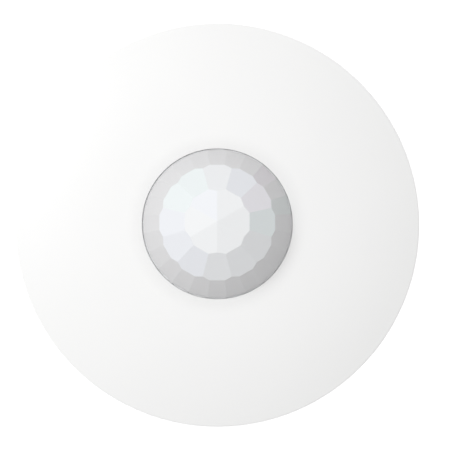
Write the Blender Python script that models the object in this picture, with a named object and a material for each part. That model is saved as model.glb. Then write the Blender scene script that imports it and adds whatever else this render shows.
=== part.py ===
"""Round ceiling motion detector with a faceted lens.

A mounting plate is screwed to the ceiling. The sensor head, a tray with the circuit board, turns onto the
plate's three hooks. The front cover, which carries the lens, pushes over the head and pulls straight off it.
The back of the mounting plate lies in z = 0 and the lens looks along +Z. All lengths are in metres.
"""

import math

import bmesh
import bpy
from mathutils import Vector

MM = 0.001

# Fits and mesh fineness
GAP = 0.3 * MM  # left between two pieces that touch
MERGE = 0.001 * MM  # points closer than this are one point
SHELL_STEPS = 96  # flats around the cover and the lens; their facet edges fall on these
FRAME_STEPS = 72  # flats around the plate, the tray and the board
RING_STEPS = 48  # flats around the lens retainer
SMALL_STEPS = 24  # flats around a part a few millimetres across
TINY_STEPS = 12  # flats around a pin or a screw shank
SWEEP_STEP = 3.0  # degrees between the flats of a part that goes only part of the way round
SHARP_ANGLE = math.radians(32.0)
FACET_SHARP_ANGLE = math.radians(5.0)  # keeps the lens's facets apart and its round skirt smooth

# Mounting plate
PLATE_RADIUS = 54.0 * MM
PLATE_THICKNESS = 2.0 * MM
PLATE_RIM_WIDTH = 1.8 * MM
PLATE_RIM_TOP = 4.3 * MM
SCREW_SLOT_PITCH_RADIUS = 32.0 * MM
SCREW_SLOT_LENGTH = 9.0 * MM
SCREW_SLOT_WIDTH = 3.9 * MM
SCREW_SLOT_ANGLES = (45.0, 135.0, 225.0, 315.0)
PLATE_CABLE_HOLE_RADIUS = 9.0 * MM

# Bayonet between plate and tray
TURN_TO_UNLOCK = 15.0  # degrees, anticlockwise as seen from the lens side
HOOK_ANGLES = (30.0, 150.0, 270.0)
HOOK_HALF_ANGLE = 4.5
HOOK_END_CLEARANCE = 0.6  # degrees
HOOK_STEM_INNER = 46.5 * MM
HOOK_STEM_OUTER = 48.5 * MM
HOOK_LIP_OUTER = 51.0 * MM
HOOK_LIP_THICKNESS = 1.6 * MM
HOOK_SIDE_CLEARANCE = 0.4 * MM

# Tray of the sensor head
TRAY_FLOOR_LOW = PLATE_RIM_TOP + GAP
TRAY_FLOOR_THICKNESS = 1.6 * MM
TRAY_FLOOR_TOP = TRAY_FLOOR_LOW + TRAY_FLOOR_THICKNESS
TRAY_WALL_OUTER = 55.2 * MM
TRAY_WALL_THICKNESS = 1.6 * MM
TRAY_WALL_TOP = 12.0 * MM
GRIP_RIB_COUNT = 12
GRIP_RIB_HALF_ANGLE = 0.8
BOARD_POST_TOP = 7.3 * MM
BOARD_POST_RADIUS = 3.0 * MM
BOARD_POST_PITCH_RADIUS = 40.0 * MM
BOARD_SCREW_ANGLES = (0.0, 120.0, 240.0)
BOARD_REST_ANGLES = (60.0, 180.0, 300.0)
PILOT_HOLE_RADIUS = 1.15 * MM
CABLE_DISTANCE = 22.0 * MM  # cable entry's place on +Y
GROMMET_BORE = 4.5 * MM
GROMMET_NECK = 5.9 * MM
GROMMET_FLANGE = 7.6 * MM
GROMMET_FLANGE_THICKNESS = 0.6 * MM

# Circuit board
BOARD_RADIUS = 44.5 * MM
BOARD_THICKNESS = 1.6 * MM
BOARD_LOW = BOARD_POST_TOP + GAP
BOARD_TOP = BOARD_LOW + BOARD_THICKNESS
BOARD_CABLE_HOLE = 6.5 * MM
BOARD_SCREW_HOLE = 1.6 * MM
SEAT = BOARD_TOP + GAP  # underside of whatever stands on the board

# Heat sensor in the middle of the board
SENSOR_CAN_RADIUS = 4.1 * MM
SENSOR_HEADER_RADIUS = 4.6 * MM
SENSOR_HEADER_THICKNESS = 0.6 * MM
SENSOR_CAN_HEIGHT = 4.0 * MM
SENSOR_CAN_WALL = 0.3 * MM
SENSOR_PIN_CIRCLE = 2.54 * MM
SENSOR_PIN_RADIUS = 0.23 * MM
SENSOR_PIN_HOLE = 0.55 * MM
SENSOR_PIN_ANGLES = (45.0, 135.0, 270.0)
SENSOR_PIN_TAIL = 1.0 * MM  # below the board
SENSOR_WINDOW = (5.0 * MM, 4.0 * MM)
SEAL_OUTER = 8.0 * MM
SEAL_INNER = 5.0 * MM
SEAL_HEIGHT = 3.0 * MM

# Front cover
COVER_RADIUS = 58.0 * MM
COVER_WALL = 2.0 * MM
COVER_SIDE_WALL = 2.2 * MM
COVER_FOOT = 0.6 * MM
COVER_FRONT = 21.2 * MM
COVER_FLAT_RADIUS = 25.0 * MM  # where the flat ring around the lens ends
COVER_CROWN = 120.0 * MM  # radius of the front's arc in section
COVER_EDGE_ROUND = 0.35 * MM
CROWN_STEPS = 7
COVER_OPENING = 21.5 * MM
COVER_INNER_RADIUS = COVER_RADIUS - COVER_SIDE_WALL
CROWN_HEIGHT = COVER_FRONT - COVER_CROWN
PRY_NOTCH_WIDTH = 10.0 * MM
PRY_NOTCH_TOP = 2.2 * MM

# Lens: rings of flat facets, each ring starting at a border radius measured along a facet's middle
LENS_RADIUS = 21.15 * MM
LENS_WALL = 0.7 * MM
LENS_RINGS = (  # (number of facets, tilt in degrees, border radius)
    (6, 11.0, 0.0),
    (12, 38.0, 9.1 * MM),
    (24, 58.0, 16.4 * MM),
)
LENS_FLANGE_RADIUS = 24.0 * MM
LENS_FLANGE_THICKNESS = 1.2 * MM
LENS_FLANGE_TOP = COVER_FRONT - COVER_WALL - GAP
LENS_SKIRT_LOW = LENS_FLANGE_TOP - LENS_FLANGE_THICKNESS

# Ring that clamps the lens into the cover
RETAINER_INNER = 20.45 * MM
RETAINER_OUTER = 29.4 * MM
RETAINER_THICKNESS = 1.4 * MM
RETAINER_TOP = LENS_SKIRT_LOW - GAP
RETAINER_LOW = RETAINER_TOP - RETAINER_THICKNESS
RETAINER_SCREW_ANGLES = (30.0, 150.0, 270.0)
RETAINER_SCREW_RADIUS = 27.1 * MM
RETAINER_BOSS_RADIUS = 2.1 * MM
PILOT_TOP = COVER_FRONT - 1.0 * MM  # end of the screw holes in the cover

# Parts on the board: (x, y) places
TERMINAL_PLACE = (0.0, 34.1 * MM)
TAMPER_PLACE = (-31.0 * MM, -15.0 * MM)
RELAY_PLACE = (30.0 * MM, -14.0 * MM)
TRIMMER_PLACE = (-28.0 * MM, 18.0 * MM)
SWITCHES_PLACE = (-33.5 * MM, 3.0 * MM)
LED_PLACE = (8.5 * MM, -8.5 * MM)
CAPACITOR_PLACES = ((33.0 * MM, 9.5 * MM), (29.0 * MM, 20.0 * MM))
CONTROLLER_PLACE = (-7.0 * MM, -33.0 * MM)
AMPLIFIER_PLACE = (-14.5 * MM, -10.0 * MM)
CRYSTAL_PLACE = (13.0 * MM, -35.5 * MM)
DIODE_PLACE = (17.0 * MM, 30.5 * MM)

# Terminal block
TERMINAL_COUNT = 6
TERMINAL_PITCH = 3.5 * MM
TERMINAL_DEPTH = 7.0 * MM
TERMINAL_HEIGHT = 7.8 * MM
TERMINAL_END_WALL = 0.4 * MM
TERMINAL_WELL_RADIUS = 1.35 * MM
TERMINAL_CHAMBER = (2.7 * MM, 5.2 * MM, 4.2 * MM)
TERMINAL_CHAMBER_LOW = 0.8 * MM
TERMINAL_SHANK_RADIUS = 0.6 * MM
TERMINAL_SCREW_DEPTH = 0.6 * MM  # how far the heads lie below the block's top
CLAMP_SIZE = (2.1 * MM, 3.6 * MM, 3.4 * MM)
CLAMP_WALL = 0.45 * MM

# Relay, chips and other boxed parts
RELAY_SIZE = (15.0 * MM, 7.4 * MM, 6.2 * MM)
RELAY_TURN = 62.0
CHIP_PITCH = 1.27 * MM
CONTROLLER_SIZE = (12.8 * MM, 7.5 * MM, 2.4 * MM)
CONTROLLER_LEADS = 10  # on each side
AMPLIFIER_SIZE = (4.9 * MM, 3.9 * MM, 1.6 * MM)
AMPLIFIER_LEADS = 4
CHIP_STAND = 0.15 * MM

# Tamper switch
TAMPER_BODY = (6.2 * MM, 6.2 * MM, 5.2 * MM)
TAMPER_WELL_RADIUS = 2.2 * MM
TAMPER_WELL_LOW = 0.6 * MM
TAMPER_LIP = 0.7 * MM
TAMPER_MOUTH_RADIUS = 1.6 * MM
TAMPER_STEM_RADIUS = 1.25 * MM
TAMPER_COLLAR_RADIUS = 1.9 * MM
TAMPER_COLLAR_HEIGHT = 0.8 * MM
TAMPER_STEM_TOP = 7.5 * MM  # above the board seat
TAMPER_POST_RADIUS = 1.8 * MM
SPRING_WIRE = 0.28 * MM
SPRING_RADIUS = 1.5 * MM
SPRING_TURNS = 3

# Setting dial
TRIMMER_SIDE = 6.6 * MM
TRIMMER_HEIGHT = 3.6 * MM
TRIMMER_WELL_RADIUS = 2.7 * MM
TRIMMER_WELL_DEPTH = 1.1 * MM
DIAL_RADIUS = 2.35 * MM
DIAL_HEIGHT = 1.3 * MM
DIAL_SLOT = (0.6 * MM, 3.6 * MM, 0.6 * MM)

# Slide switches
SWITCH_COUNT = 3
SWITCH_PITCH = 2.54 * MM
SWITCH_BODY = (6.2 * MM, 8.6 * MM, 3.0 * MM)
SWITCH_WINDOW = (3.6 * MM, 1.4 * MM, 1.3 * MM)
SLIDER_SIZE = (1.5 * MM, 0.8 * MM, 1.5 * MM)
SLIDER_TRAVEL = 1.4 * MM

WHITE = (0.86, 0.86, 0.85, 1.0)
PALE_GREY = (0.70, 0.71, 0.71, 1.0)
LENS_WHITE = (0.84, 0.86, 0.87, 1.0)


# ---------------------------------------------------------------- scene and materials


def clear_scene():
    """Remove whatever the scene holds."""
    for thing in list(bpy.data.objects):
        bpy.data.objects.remove(thing, do_unlink=True)


def material(name, colour, roughness, metallic=0.0):
    """Return a Principled BSDF material."""
    made = bpy.data.materials.new(name)
    made.use_nodes = True
    made.diffuse_color = colour
    shader = made.node_tree.nodes["Principled BSDF"]
    shader.inputs["Base Color"].default_value = colour
    shader.inputs["Roughness"].default_value = roughness
    shader.inputs["Metallic"].default_value = metallic
    return made


def empty(name, place, parent=None):
    """Return an empty that stands for a joint's axis."""
    axis = bpy.data.objects.new(name, None)
    axis.location = place
    axis.parent = parent
    bpy.context.scene.collection.objects.link(axis)
    return axis


def piece(name, shape, finish, parent=None, place=(0.0, 0.0, 0.0), turn=0.0):
    """Turn a bmesh into a named object with its own copy of a material."""
    mesh = bpy.data.meshes.new(name)
    shape.to_mesh(mesh)
    shape.free()
    mesh.shade_smooth()
    mesh.set_sharp_from_angle(angle=SHARP_ANGLE)
    made = bpy.data.objects.new(name, mesh)
    made.location = place
    made.rotation_euler = (0.0, 0.0, math.radians(turn))
    made.parent = parent
    bpy.context.scene.collection.objects.link(made)
    own = finish.copy()
    own.name = name
    mesh.materials.append(own)
    return made


def combine(target, operation, *shapes):
    """Add a Boolean to target whose operand is one hidden object made of shapes that don't meet."""
    mesh = bpy.data.meshes.new(target.name + "_tool")
    joined = bmesh.new()
    for shape in shapes:
        shape.to_mesh(mesh)
        shape.free()
        joined.from_mesh(mesh)
    joined.to_mesh(mesh)
    joined.free()
    tool = bpy.data.objects.new(mesh.name, mesh)
    tool.parent = target
    tool.hide_render = True
    tool.display_type = "WIRE"
    bpy.context.scene.collection.objects.link(tool)
    change = target.modifiers.new(operation.lower(), "BOOLEAN")
    change.operation = operation
    change.solver = "EXACT"
    change.object = tool


def soften(target, width):
    """Break the sharp edges of a piece."""
    bevel = target.modifiers.new("soften", "BEVEL")
    bevel.width = width
    bevel.segments = 1
    bevel.limit_method = "ANGLE"
    bevel.angle_limit = SHARP_ANGLE


# ---------------------------------------------------------------- shapes


def polar(radius, degrees):
    """Return the plan point at a radius and an angle from +X."""
    angle = math.radians(degrees)
    return radius * math.cos(angle), radius * math.sin(angle)


def turned(profile, steps):
    """Spin a closed profile of (radius, height) points about Z into a solid."""
    shape = bmesh.new()
    corners = [shape.verts.new((radius, 0.0, height)) for radius, height in profile]
    for here, there in zip(corners, corners[1:] + corners[:1]):
        if here.co.x > 0.0 or there.co.x > 0.0:
            shape.edges.new((here, there))
    bmesh.ops.spin(
        shape,
        geom=shape.verts[:] + shape.edges[:],
        cent=(0.0, 0.0, 0.0),
        axis=(0.0, 0.0, 1.0),
        angle=math.tau,
        steps=steps,
        use_merge=True,
    )
    bmesh.ops.remove_doubles(shape, verts=shape.verts[:], dist=MERGE)
    bmesh.ops.recalc_face_normals(shape, faces=shape.faces[:])
    return shape


def swept(profile, start, end):
    """Spin a closed profile of (radius, height) points from one angle to another, in degrees."""
    shape = bmesh.new()
    cosine, sine = polar(1.0, start)
    first = shape.faces.new([shape.verts.new((r * cosine, r * sine, height)) for r, height in profile])
    bmesh.ops.spin(
        shape,
        geom=shape.verts[:] + shape.edges[:] + [first],
        cent=(0.0, 0.0, 0.0),
        axis=(0.0, 0.0, 1.0),
        angle=math.radians(end - start),
        steps=max(2, round((end - start) / SWEEP_STEP)),
    )
    bmesh.ops.recalc_face_normals(shape, faces=shape.faces[:])
    return shape


def extruded(outline, low, high):
    """Raise a plan outline from one height to another."""
    shape = bmesh.new()
    base = shape.faces.new([shape.verts.new((x, y, low)) for x, y in outline])
    raised = bmesh.ops.extrude_face_region(shape, geom=[base])
    top = [item for item in raised["geom"] if isinstance(item, bmesh.types.BMVert)]
    bmesh.ops.translate(shape, verts=top, vec=(0.0, 0.0, high - low))
    bmesh.ops.recalc_face_normals(shape, faces=shape.faces[:])
    return shape


def rectangle(width, depth, centre=(0.0, 0.0)):
    """Return a rectangle's outline, width along X and depth along Y."""
    x, y = centre
    corners = ((-1, -1), (1, -1), (1, 1), (-1, 1))
    return [(x + side * width / 2, y + end * depth / 2) for side, end in corners]


def circle(radius, steps, centre=(0.0, 0.0)):
    """Return a circle's outline."""
    spots = [polar(radius, 360.0 * index / steps) for index in range(steps)]
    return [(centre[0] + x, centre[1] + y) for x, y in spots]


def stadium(length, width, centre, turn):
    """Return a slot's outline: two half circles, length from end to end, turned from +X."""
    reach = (length - width) / 2
    half_steps = SMALL_STEPS // 2
    outline = []
    for side in (1, -1):
        for index in range(half_steps + 1):
            sweep = -90.0 + 180.0 * index / half_steps + (0.0 if side > 0 else 180.0)
            x, y = polar(width / 2, sweep)
            outline.append((x + side * reach, y))
    cosine, sine = polar(1.0, turn)
    return [(centre[0] + x * cosine - y * sine, centre[1] + x * sine + y * cosine) for x, y in outline]


def sector(inner, outer, start, end):
    """Return the outline of a piece of a ring between two angles in degrees."""
    steps = max(2, round((end - start) / SWEEP_STEP))
    sweep = [start + (end - start) * index / steps for index in range(steps + 1)]
    return [polar(inner, angle) for angle in sweep] + [polar(outer, angle) for angle in reversed(sweep)]


def box(size, centre=(0.0, 0.0), low=0.0):
    """Return a block standing on a height."""
    width, depth, height = size
    return extruded(rectangle(width, depth, centre), low, low + height)


def rod(radius, low, high, centre=(0.0, 0.0), steps=SMALL_STEPS):
    """Return an upright round bar."""
    return extruded(circle(radius, steps, centre), low, high)


def crown_height(radius, inset):
    """Height of the front's arc at a radius, moved inwards by inset."""
    reach = COVER_CROWN - inset
    return CROWN_HEIGHT + math.sqrt(reach**2 - (radius - COVER_FLAT_RADIUS) ** 2)


def crown_arc(outer_radius, inset, steps):
    """Points of the front's arc from an outer radius in to where it runs flat."""
    span = outer_radius - COVER_FLAT_RADIUS
    radii = [outer_radius - span * index / steps for index in range(steps + 1)]
    return [(radius, crown_height(radius, inset)) for radius in radii]


# ---------------------------------------------------------------- mounting plate


def make_ceiling_plate(finish):
    """Flat disc with a rim, screw slots, a cable hole and three hooks."""
    profile = [
        (0.0, 0.0),
        (PLATE_RADIUS, 0.0),
        (PLATE_RADIUS, PLATE_RIM_TOP),
        (PLATE_RADIUS - PLATE_RIM_WIDTH, PLATE_RIM_TOP),
        (PLATE_RADIUS - PLATE_RIM_WIDTH, PLATE_THICKNESS),
        (0.0, PLATE_THICKNESS),
    ]
    plate = piece("ceiling_plate", turned(profile, FRAME_STEPS), finish)
    lip_low = TRAY_FLOOR_TOP + HOOK_SIDE_CLEARANCE
    lip_top = lip_low + HOOK_LIP_THICKNESS
    hook_profile = [
        (HOOK_STEM_INNER, PLATE_THICKNESS / 2),
        (HOOK_STEM_OUTER, PLATE_THICKNESS / 2),
        (HOOK_STEM_OUTER, lip_low),
        (HOOK_LIP_OUTER, lip_low),
        (HOOK_LIP_OUTER, lip_top),
        (HOOK_STEM_INNER, lip_top),
    ]
    hooks = [swept(hook_profile, angle - HOOK_HALF_ANGLE, angle + HOOK_HALF_ANGLE) for angle in HOOK_ANGLES]
    combine(plate, "UNION", *hooks)
    below, above = -PLATE_THICKNESS, 2 * PLATE_THICKNESS
    cable = polar(CABLE_DISTANCE, 90.0 + TURN_TO_UNLOCK / 2)
    holes = [rod(PLATE_CABLE_HOLE_RADIUS, below, above, cable, FRAME_STEPS // 2)]
    for angle in SCREW_SLOT_ANGLES:
        middle = polar(SCREW_SLOT_PITCH_RADIUS, angle)
        slot = stadium(SCREW_SLOT_LENGTH, SCREW_SLOT_WIDTH, middle, angle)
        holes.append(extruded(slot, below, above))
    combine(plate, "DIFFERENCE", *holes)


# ---------------------------------------------------------------- sensor head


def make_tray(finish, head):
    """Round tray that turns on the plate and carries the board and the cover."""
    inner = TRAY_WALL_OUTER - TRAY_WALL_THICKNESS
    profile = [
        (0.0, TRAY_FLOOR_LOW),
        (TRAY_WALL_OUTER, TRAY_FLOOR_LOW),
        (TRAY_WALL_OUTER, TRAY_WALL_TOP),
        (inner, TRAY_WALL_TOP),
        (inner, TRAY_FLOOR_TOP),
        (0.0, TRAY_FLOOR_TOP),
    ]
    tray = piece("sensor_tray", turned(profile, FRAME_STEPS), finish, head)
    inside_wall = TRAY_WALL_OUTER - TRAY_WALL_THICKNESS / 2
    rib_outer = COVER_INNER_RADIUS - GAP
    added = []
    for index in range(GRIP_RIB_COUNT):
        angle = 360.0 * (index + 0.5) / GRIP_RIB_COUNT
        outline = sector(inside_wall, rib_outer, angle - GRIP_RIB_HALF_ANGLE, angle + GRIP_RIB_HALF_ANGLE)
        added.append(extruded(outline, TRAY_FLOOR_TOP, TRAY_WALL_TOP - TRAY_WALL_THICKNESS))
    floor_middle = (TRAY_FLOOR_LOW + TRAY_FLOOR_TOP) / 2
    for angle in BOARD_SCREW_ANGLES + BOARD_REST_ANGLES:
        place = polar(BOARD_POST_PITCH_RADIUS, angle)
        added.append(rod(BOARD_POST_RADIUS, floor_middle, BOARD_POST_TOP, place))
    combine(tray, "UNION", *added)
    below, above = TRAY_FLOOR_LOW - GAP, TRAY_FLOOR_TOP + GAP
    inner_edge = HOOK_STEM_INNER - HOOK_SIDE_CLEARANCE
    stem_edge = HOOK_STEM_OUTER + HOOK_SIDE_CLEARANCE
    lip_edge = HOOK_LIP_OUTER + HOOK_SIDE_CLEARANCE
    reach = HOOK_HALF_ANGLE + HOOK_END_CLEARANCE
    narrow, wide = [], []
    for angle in HOOK_ANGLES:
        unlocked = angle - TURN_TO_UNLOCK
        run = sector(inner_edge, stem_edge, unlocked - reach, angle + reach)
        mouth = sector(HOOK_STEM_INNER, lip_edge, unlocked - reach - HOOK_END_CLEARANCE, unlocked + reach)
        narrow.append(extruded(run, below, above))
        wide.append(extruded(mouth, below, above))
    combine(tray, "DIFFERENCE", *narrow)
    combine(tray, "DIFFERENCE", *wide)
    holes = [rod(GROMMET_NECK + GAP, below, above, (0.0, CABLE_DISTANCE), SMALL_STEPS)]
    for angle in BOARD_SCREW_ANGLES:
        place = polar(BOARD_POST_PITCH_RADIUS, angle)
        holes.append(rod(PILOT_HOLE_RADIUS, TRAY_FLOOR_LOW + GAP, BOARD_POST_TOP + GAP, place, TINY_STEPS))
    combine(tray, "DIFFERENCE", *holes)


def make_grommet(finish, head):
    """Rubber ring that lines the cable hole of the tray."""
    low, high = TRAY_FLOOR_LOW - GAP, TRAY_FLOOR_TOP + GAP
    profile = [
        (GROMMET_BORE, low - GROMMET_FLANGE_THICKNESS),
        (GROMMET_FLANGE, low - GROMMET_FLANGE_THICKNESS),
        (GROMMET_FLANGE, low),
        (GROMMET_NECK, low),
        (GROMMET_NECK, high),
        (GROMMET_FLANGE, high),
        (GROMMET_FLANGE, high + GROMMET_FLANGE_THICKNESS),
        (GROMMET_BORE, high + GROMMET_FLANGE_THICKNESS),
    ]
    piece("cable_grommet", turned(profile, SMALL_STEPS), finish, head, (0.0, CABLE_DISTANCE, 0.0))


def make_board(finish, head):
    """Round circuit board with its cable hole, screw holes and sensor pin holes."""
    board = piece("circuit_board", rod(BOARD_RADIUS, BOARD_LOW, BOARD_TOP, steps=FRAME_STEPS), finish, head)
    below, above = BOARD_LOW - GAP, BOARD_TOP + GAP
    holes = [rod(BOARD_CABLE_HOLE, below, above, (0.0, CABLE_DISTANCE))]
    for angle in BOARD_SCREW_ANGLES:
        holes.append(rod(BOARD_SCREW_HOLE, below, above, polar(BOARD_POST_PITCH_RADIUS, angle), TINY_STEPS))
    for angle in SENSOR_PIN_ANGLES:
        holes.append(rod(SENSOR_PIN_HOLE, below, above, polar(SENSOR_PIN_CIRCLE, angle), TINY_STEPS))
    combine(board, "DIFFERENCE", *holes)


def pan_head_screw(name, finish, parent, place, sizes, turn=0.0):
    """Cross-recessed screw, head up; sizes are head radius and height, then shank radius and length."""
    head_radius, head_height, shank_radius, shank_length = sizes
    profile = [
        (0.0, -shank_length),
        (shank_radius, -shank_length),
        (shank_radius, 0.0),
        (head_radius, 0.0),
        (head_radius, 0.6 * head_height),
        (0.7 * head_radius, head_height),
        (0.0, head_height),
    ]
    screw = piece(name, turned(profile, SMALL_STEPS), finish, parent, place, turn)
    recess_low = 0.45 * head_height
    arm, width = 1.15 * head_radius, 0.26 * head_radius
    combine(screw, "DIFFERENCE", box((arm, width, head_height), low=recess_low))
    combine(screw, "DIFFERENCE", box((width, arm, head_height), low=recess_low))
    return screw


def make_board_screws(finish, head):
    """Screws that hold the board to the tray."""
    sizes = (2.7 * MM, 1.7 * MM, 0.85 * MM, 4.1 * MM)
    for number, angle in enumerate(BOARD_SCREW_ANGLES, 1):
        x, y = polar(BOARD_POST_PITCH_RADIUS, angle)
        pan_head_screw(f"board_screw_{number}", finish, head, (x, y, SEAT), sizes, angle)


def make_sensor(metal, dark_glass, foam, head):
    """Heat sensor: header with three pins, can with a window, filter and a foam collar."""
    header_top = SENSOR_HEADER_THICKNESS
    platform_top = header_top + 2 * GAP
    platform_radius = SENSOR_CAN_RADIUS - SENSOR_CAN_WALL - GAP
    profile = [
        (0.0, 0.0),
        (SENSOR_HEADER_RADIUS, 0.0),
        (SENSOR_HEADER_RADIUS, header_top),
        (platform_radius, header_top),
        (platform_radius, platform_top),
        (0.0, platform_top),
    ]
    place = (0.0, 0.0, SEAT)
    header = piece("sensor_header", turned(profile, SMALL_STEPS), metal, head, place)
    pin_low = BOARD_LOW - SENSOR_PIN_TAIL - SEAT
    pins = [
        rod(SENSOR_PIN_RADIUS, pin_low, header_top / 2, polar(SENSOR_PIN_CIRCLE, angle), TINY_STEPS)
        for angle in SENSOR_PIN_ANGLES
    ]
    combine(header, "UNION", *pins)

    can_low = header_top + GAP
    can_top = can_low + SENSOR_CAN_HEIGHT
    inner = SENSOR_CAN_RADIUS - SENSOR_CAN_WALL
    profile = [
        (SENSOR_CAN_RADIUS, can_low),
        (SENSOR_CAN_RADIUS, can_top - SENSOR_CAN_WALL),
        (inner, can_top),
        (0.0, can_top),
        (0.0, can_top - SENSOR_CAN_WALL),
        (inner, can_top - SENSOR_CAN_WALL),
        (inner, can_low),
    ]
    can = piece("sensor_can", turned(profile, SMALL_STEPS), metal, head, place)
    combine(can, "DIFFERENCE", box((*SENSOR_WINDOW, 2 * MM), low=can_top - MM))

    filter_top = can_top - SENSOR_CAN_WALL - GAP
    filter_size = (SENSOR_WINDOW[0] + GAP, SENSOR_WINDOW[1] + GAP, 0.5 * MM)
    piece("sensor_filter", box(filter_size, low=filter_top - filter_size[2]), dark_glass, head, place)

    profile = [
        (SEAL_INNER, 0.0),
        (SEAL_OUTER, 0.0),
        (SEAL_OUTER - MM, SEAL_HEIGHT),
        (SEAL_INNER, SEAL_HEIGHT),
    ]
    piece("sensor_seal", turned(profile, SMALL_STEPS), foam, head, place)


def make_terminals(plastic, steel, brass, head):
    """Terminal block with a rising clamp and a slotted screw for each wire."""
    x0, y0 = TERMINAL_PLACE
    width = TERMINAL_COUNT * TERMINAL_PITCH + 2 * TERMINAL_END_WALL
    body = box((width, TERMINAL_DEPTH, TERMINAL_HEIGHT))
    block = piece("terminal_block", body, plastic, head, (x0, y0, SEAT))
    columns = [(index - (TERMINAL_COUNT - 1) / 2) * TERMINAL_PITCH for index in range(TERMINAL_COUNT)]
    chamber_shift = (TERMINAL_CHAMBER[1] - TERMINAL_DEPTH) / 2 - GAP
    wire_shift = chamber_shift + (TERMINAL_CHAMBER[1] - CLAMP_SIZE[1]) / 2 - GAP
    chambers = [box(TERMINAL_CHAMBER, (x, chamber_shift), TERMINAL_CHAMBER_LOW) for x in columns]
    combine(block, "DIFFERENCE", *chambers)
    chamber_top = TERMINAL_CHAMBER_LOW + TERMINAL_CHAMBER[2]
    well_ends = (chamber_top - GAP, TERMINAL_HEIGHT + GAP)
    wells = [rod(TERMINAL_WELL_RADIUS, *well_ends, (x, wire_shift)) for x in columns]
    combine(block, "DIFFERENCE", *wells)

    clamp_low = TERMINAL_CHAMBER_LOW + GAP
    clamp_top = clamp_low + CLAMP_SIZE[2]
    opening = (CLAMP_SIZE[0] - 2 * CLAMP_WALL, 2 * CLAMP_SIZE[1], CLAMP_SIZE[2] - 3 * CLAMP_WALL)
    shank_low = clamp_low + CLAMP_WALL + opening[2] / 2
    shank_radius = TERMINAL_SHANK_RADIUS
    head_low = chamber_top + GAP
    head_top = TERMINAL_HEIGHT - TERMINAL_SCREW_DEPTH
    head_radius = TERMINAL_WELL_RADIUS - GAP
    screw_profile = [
        (0.0, shank_low),
        (shank_radius, shank_low),
        (shank_radius, head_low),
        (head_radius, head_low),
        (head_radius, head_top),
        (0.0, head_top),
    ]
    for number, x in enumerate(columns, 1):
        place = (x0 + x, y0 + wire_shift, SEAT)
        clamp = piece(f"terminal_clamp_{number}", box(CLAMP_SIZE, low=clamp_low), brass, head, place)
        combine(clamp, "DIFFERENCE", box(opening, low=clamp_low + CLAMP_WALL))
        hole_ends = (clamp_top - 3 * CLAMP_WALL, clamp_top + GAP)
        combine(clamp, "DIFFERENCE", rod(shank_radius + GAP / 2, *hole_ends, steps=TINY_STEPS))
        screw = piece(f"terminal_screw_{number}", turned(screw_profile, TINY_STEPS), steel, head, place)
        slot_width, slot_depth = 0.4 * MM, 0.5 * MM
        slot = (3 * head_radius, slot_width, 2 * slot_depth)
        combine(screw, "DIFFERENCE", box(slot, low=head_top - slot_depth))


def helix(radius, low, high, turns, points_per_turn):
    """Return the points of an upright coil."""
    count = turns * points_per_turn
    spots = [polar(radius, 360.0 * index / points_per_turn) for index in range(count + 1)]
    return [(x, y, low + (high - low) * index / count) for index, (x, y) in enumerate(spots)]


def wire(name, points, radius, finish, parent, place):
    """Return a round wire with closed ends along a run of points."""
    path = bpy.data.curves.new(name, "CURVE")
    path.dimensions = "3D"
    path.bevel_depth = radius
    path.bevel_resolution = 1
    path.use_fill_caps = True
    run = path.splines.new("POLY")
    run.points.add(len(points) - 1)
    for spot, point in zip(run.points, points):
        spot.co = (*point, 1.0)
    made = bpy.data.objects.new(name, path)
    made.location = place
    made.parent = parent
    own = finish.copy()
    own.name = name
    path.materials.append(own)
    bpy.context.scene.collection.objects.link(made)


def make_tamper_switch(plastic, button_plastic, steel, head):
    """Switch that the cover's post holds down: a case, a spring and a plunger with a collar."""
    place = (*TAMPER_PLACE, SEAT)
    case = piece("tamper_case", box(TAMPER_BODY), plastic, head, place)
    lip_low = TAMPER_BODY[2] - TAMPER_LIP
    combine(case, "DIFFERENCE", rod(TAMPER_WELL_RADIUS, TAMPER_WELL_LOW, lip_low))
    combine(case, "DIFFERENCE", rod(TAMPER_MOUTH_RADIUS, lip_low - GAP, TAMPER_BODY[2] + GAP))

    axis = empty("tamper_press_axis", place, head)
    collar_top = lip_low - GAP
    collar_low = collar_top - TAMPER_COLLAR_HEIGHT
    profile = [
        (0.0, collar_low),
        (TAMPER_COLLAR_RADIUS, collar_low),
        (TAMPER_COLLAR_RADIUS, collar_top),
        (TAMPER_STEM_RADIUS, collar_top),
        (TAMPER_STEM_RADIUS, TAMPER_STEM_TOP - GAP),
        (TAMPER_STEM_RADIUS - GAP, TAMPER_STEM_TOP),
        (0.0, TAMPER_STEM_TOP),
    ]
    piece("tamper_plunger", turned(profile, SMALL_STEPS), button_plastic, axis)

    half_wire = SPRING_WIRE / 2
    low = TAMPER_WELL_LOW + GAP + half_wire
    high = collar_low - GAP - half_wire
    coil = helix(SPRING_RADIUS, low, high, SPRING_TURNS, TINY_STEPS)
    wire("tamper_spring", coil, half_wire, steel, head, place)


def make_trimmer(plastic, dial_plastic, head):
    """Square setting trimmer with a slotted dial that turns."""
    place = (*TRIMMER_PLACE, SEAT)
    body = box((TRIMMER_SIDE, TRIMMER_SIDE, TRIMMER_HEIGHT))
    case = piece("range_trimmer_case", body, plastic, head, place)
    soften(case, 0.3 * MM)
    well_low = TRIMMER_HEIGHT - TRIMMER_WELL_DEPTH
    combine(case, "DIFFERENCE", rod(TRIMMER_WELL_RADIUS, well_low, TRIMMER_HEIGHT + GAP))
    axis = empty("range_dial_axis", place, head)
    dial_low = well_low + GAP
    dial_top = dial_low + DIAL_HEIGHT
    profile = [
        (0.0, dial_low),
        (DIAL_RADIUS, dial_low),
        (DIAL_RADIUS, dial_top - 0.2 * MM),
        (DIAL_RADIUS - 0.2 * MM, dial_top),
        (0.0, dial_top),
    ]
    dial = piece("range_dial", turned(profile, SMALL_STEPS), dial_plastic, axis)
    combine(dial, "DIFFERENCE", box(DIAL_SLOT, low=dial_top - DIAL_SLOT[2] / 2))


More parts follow.
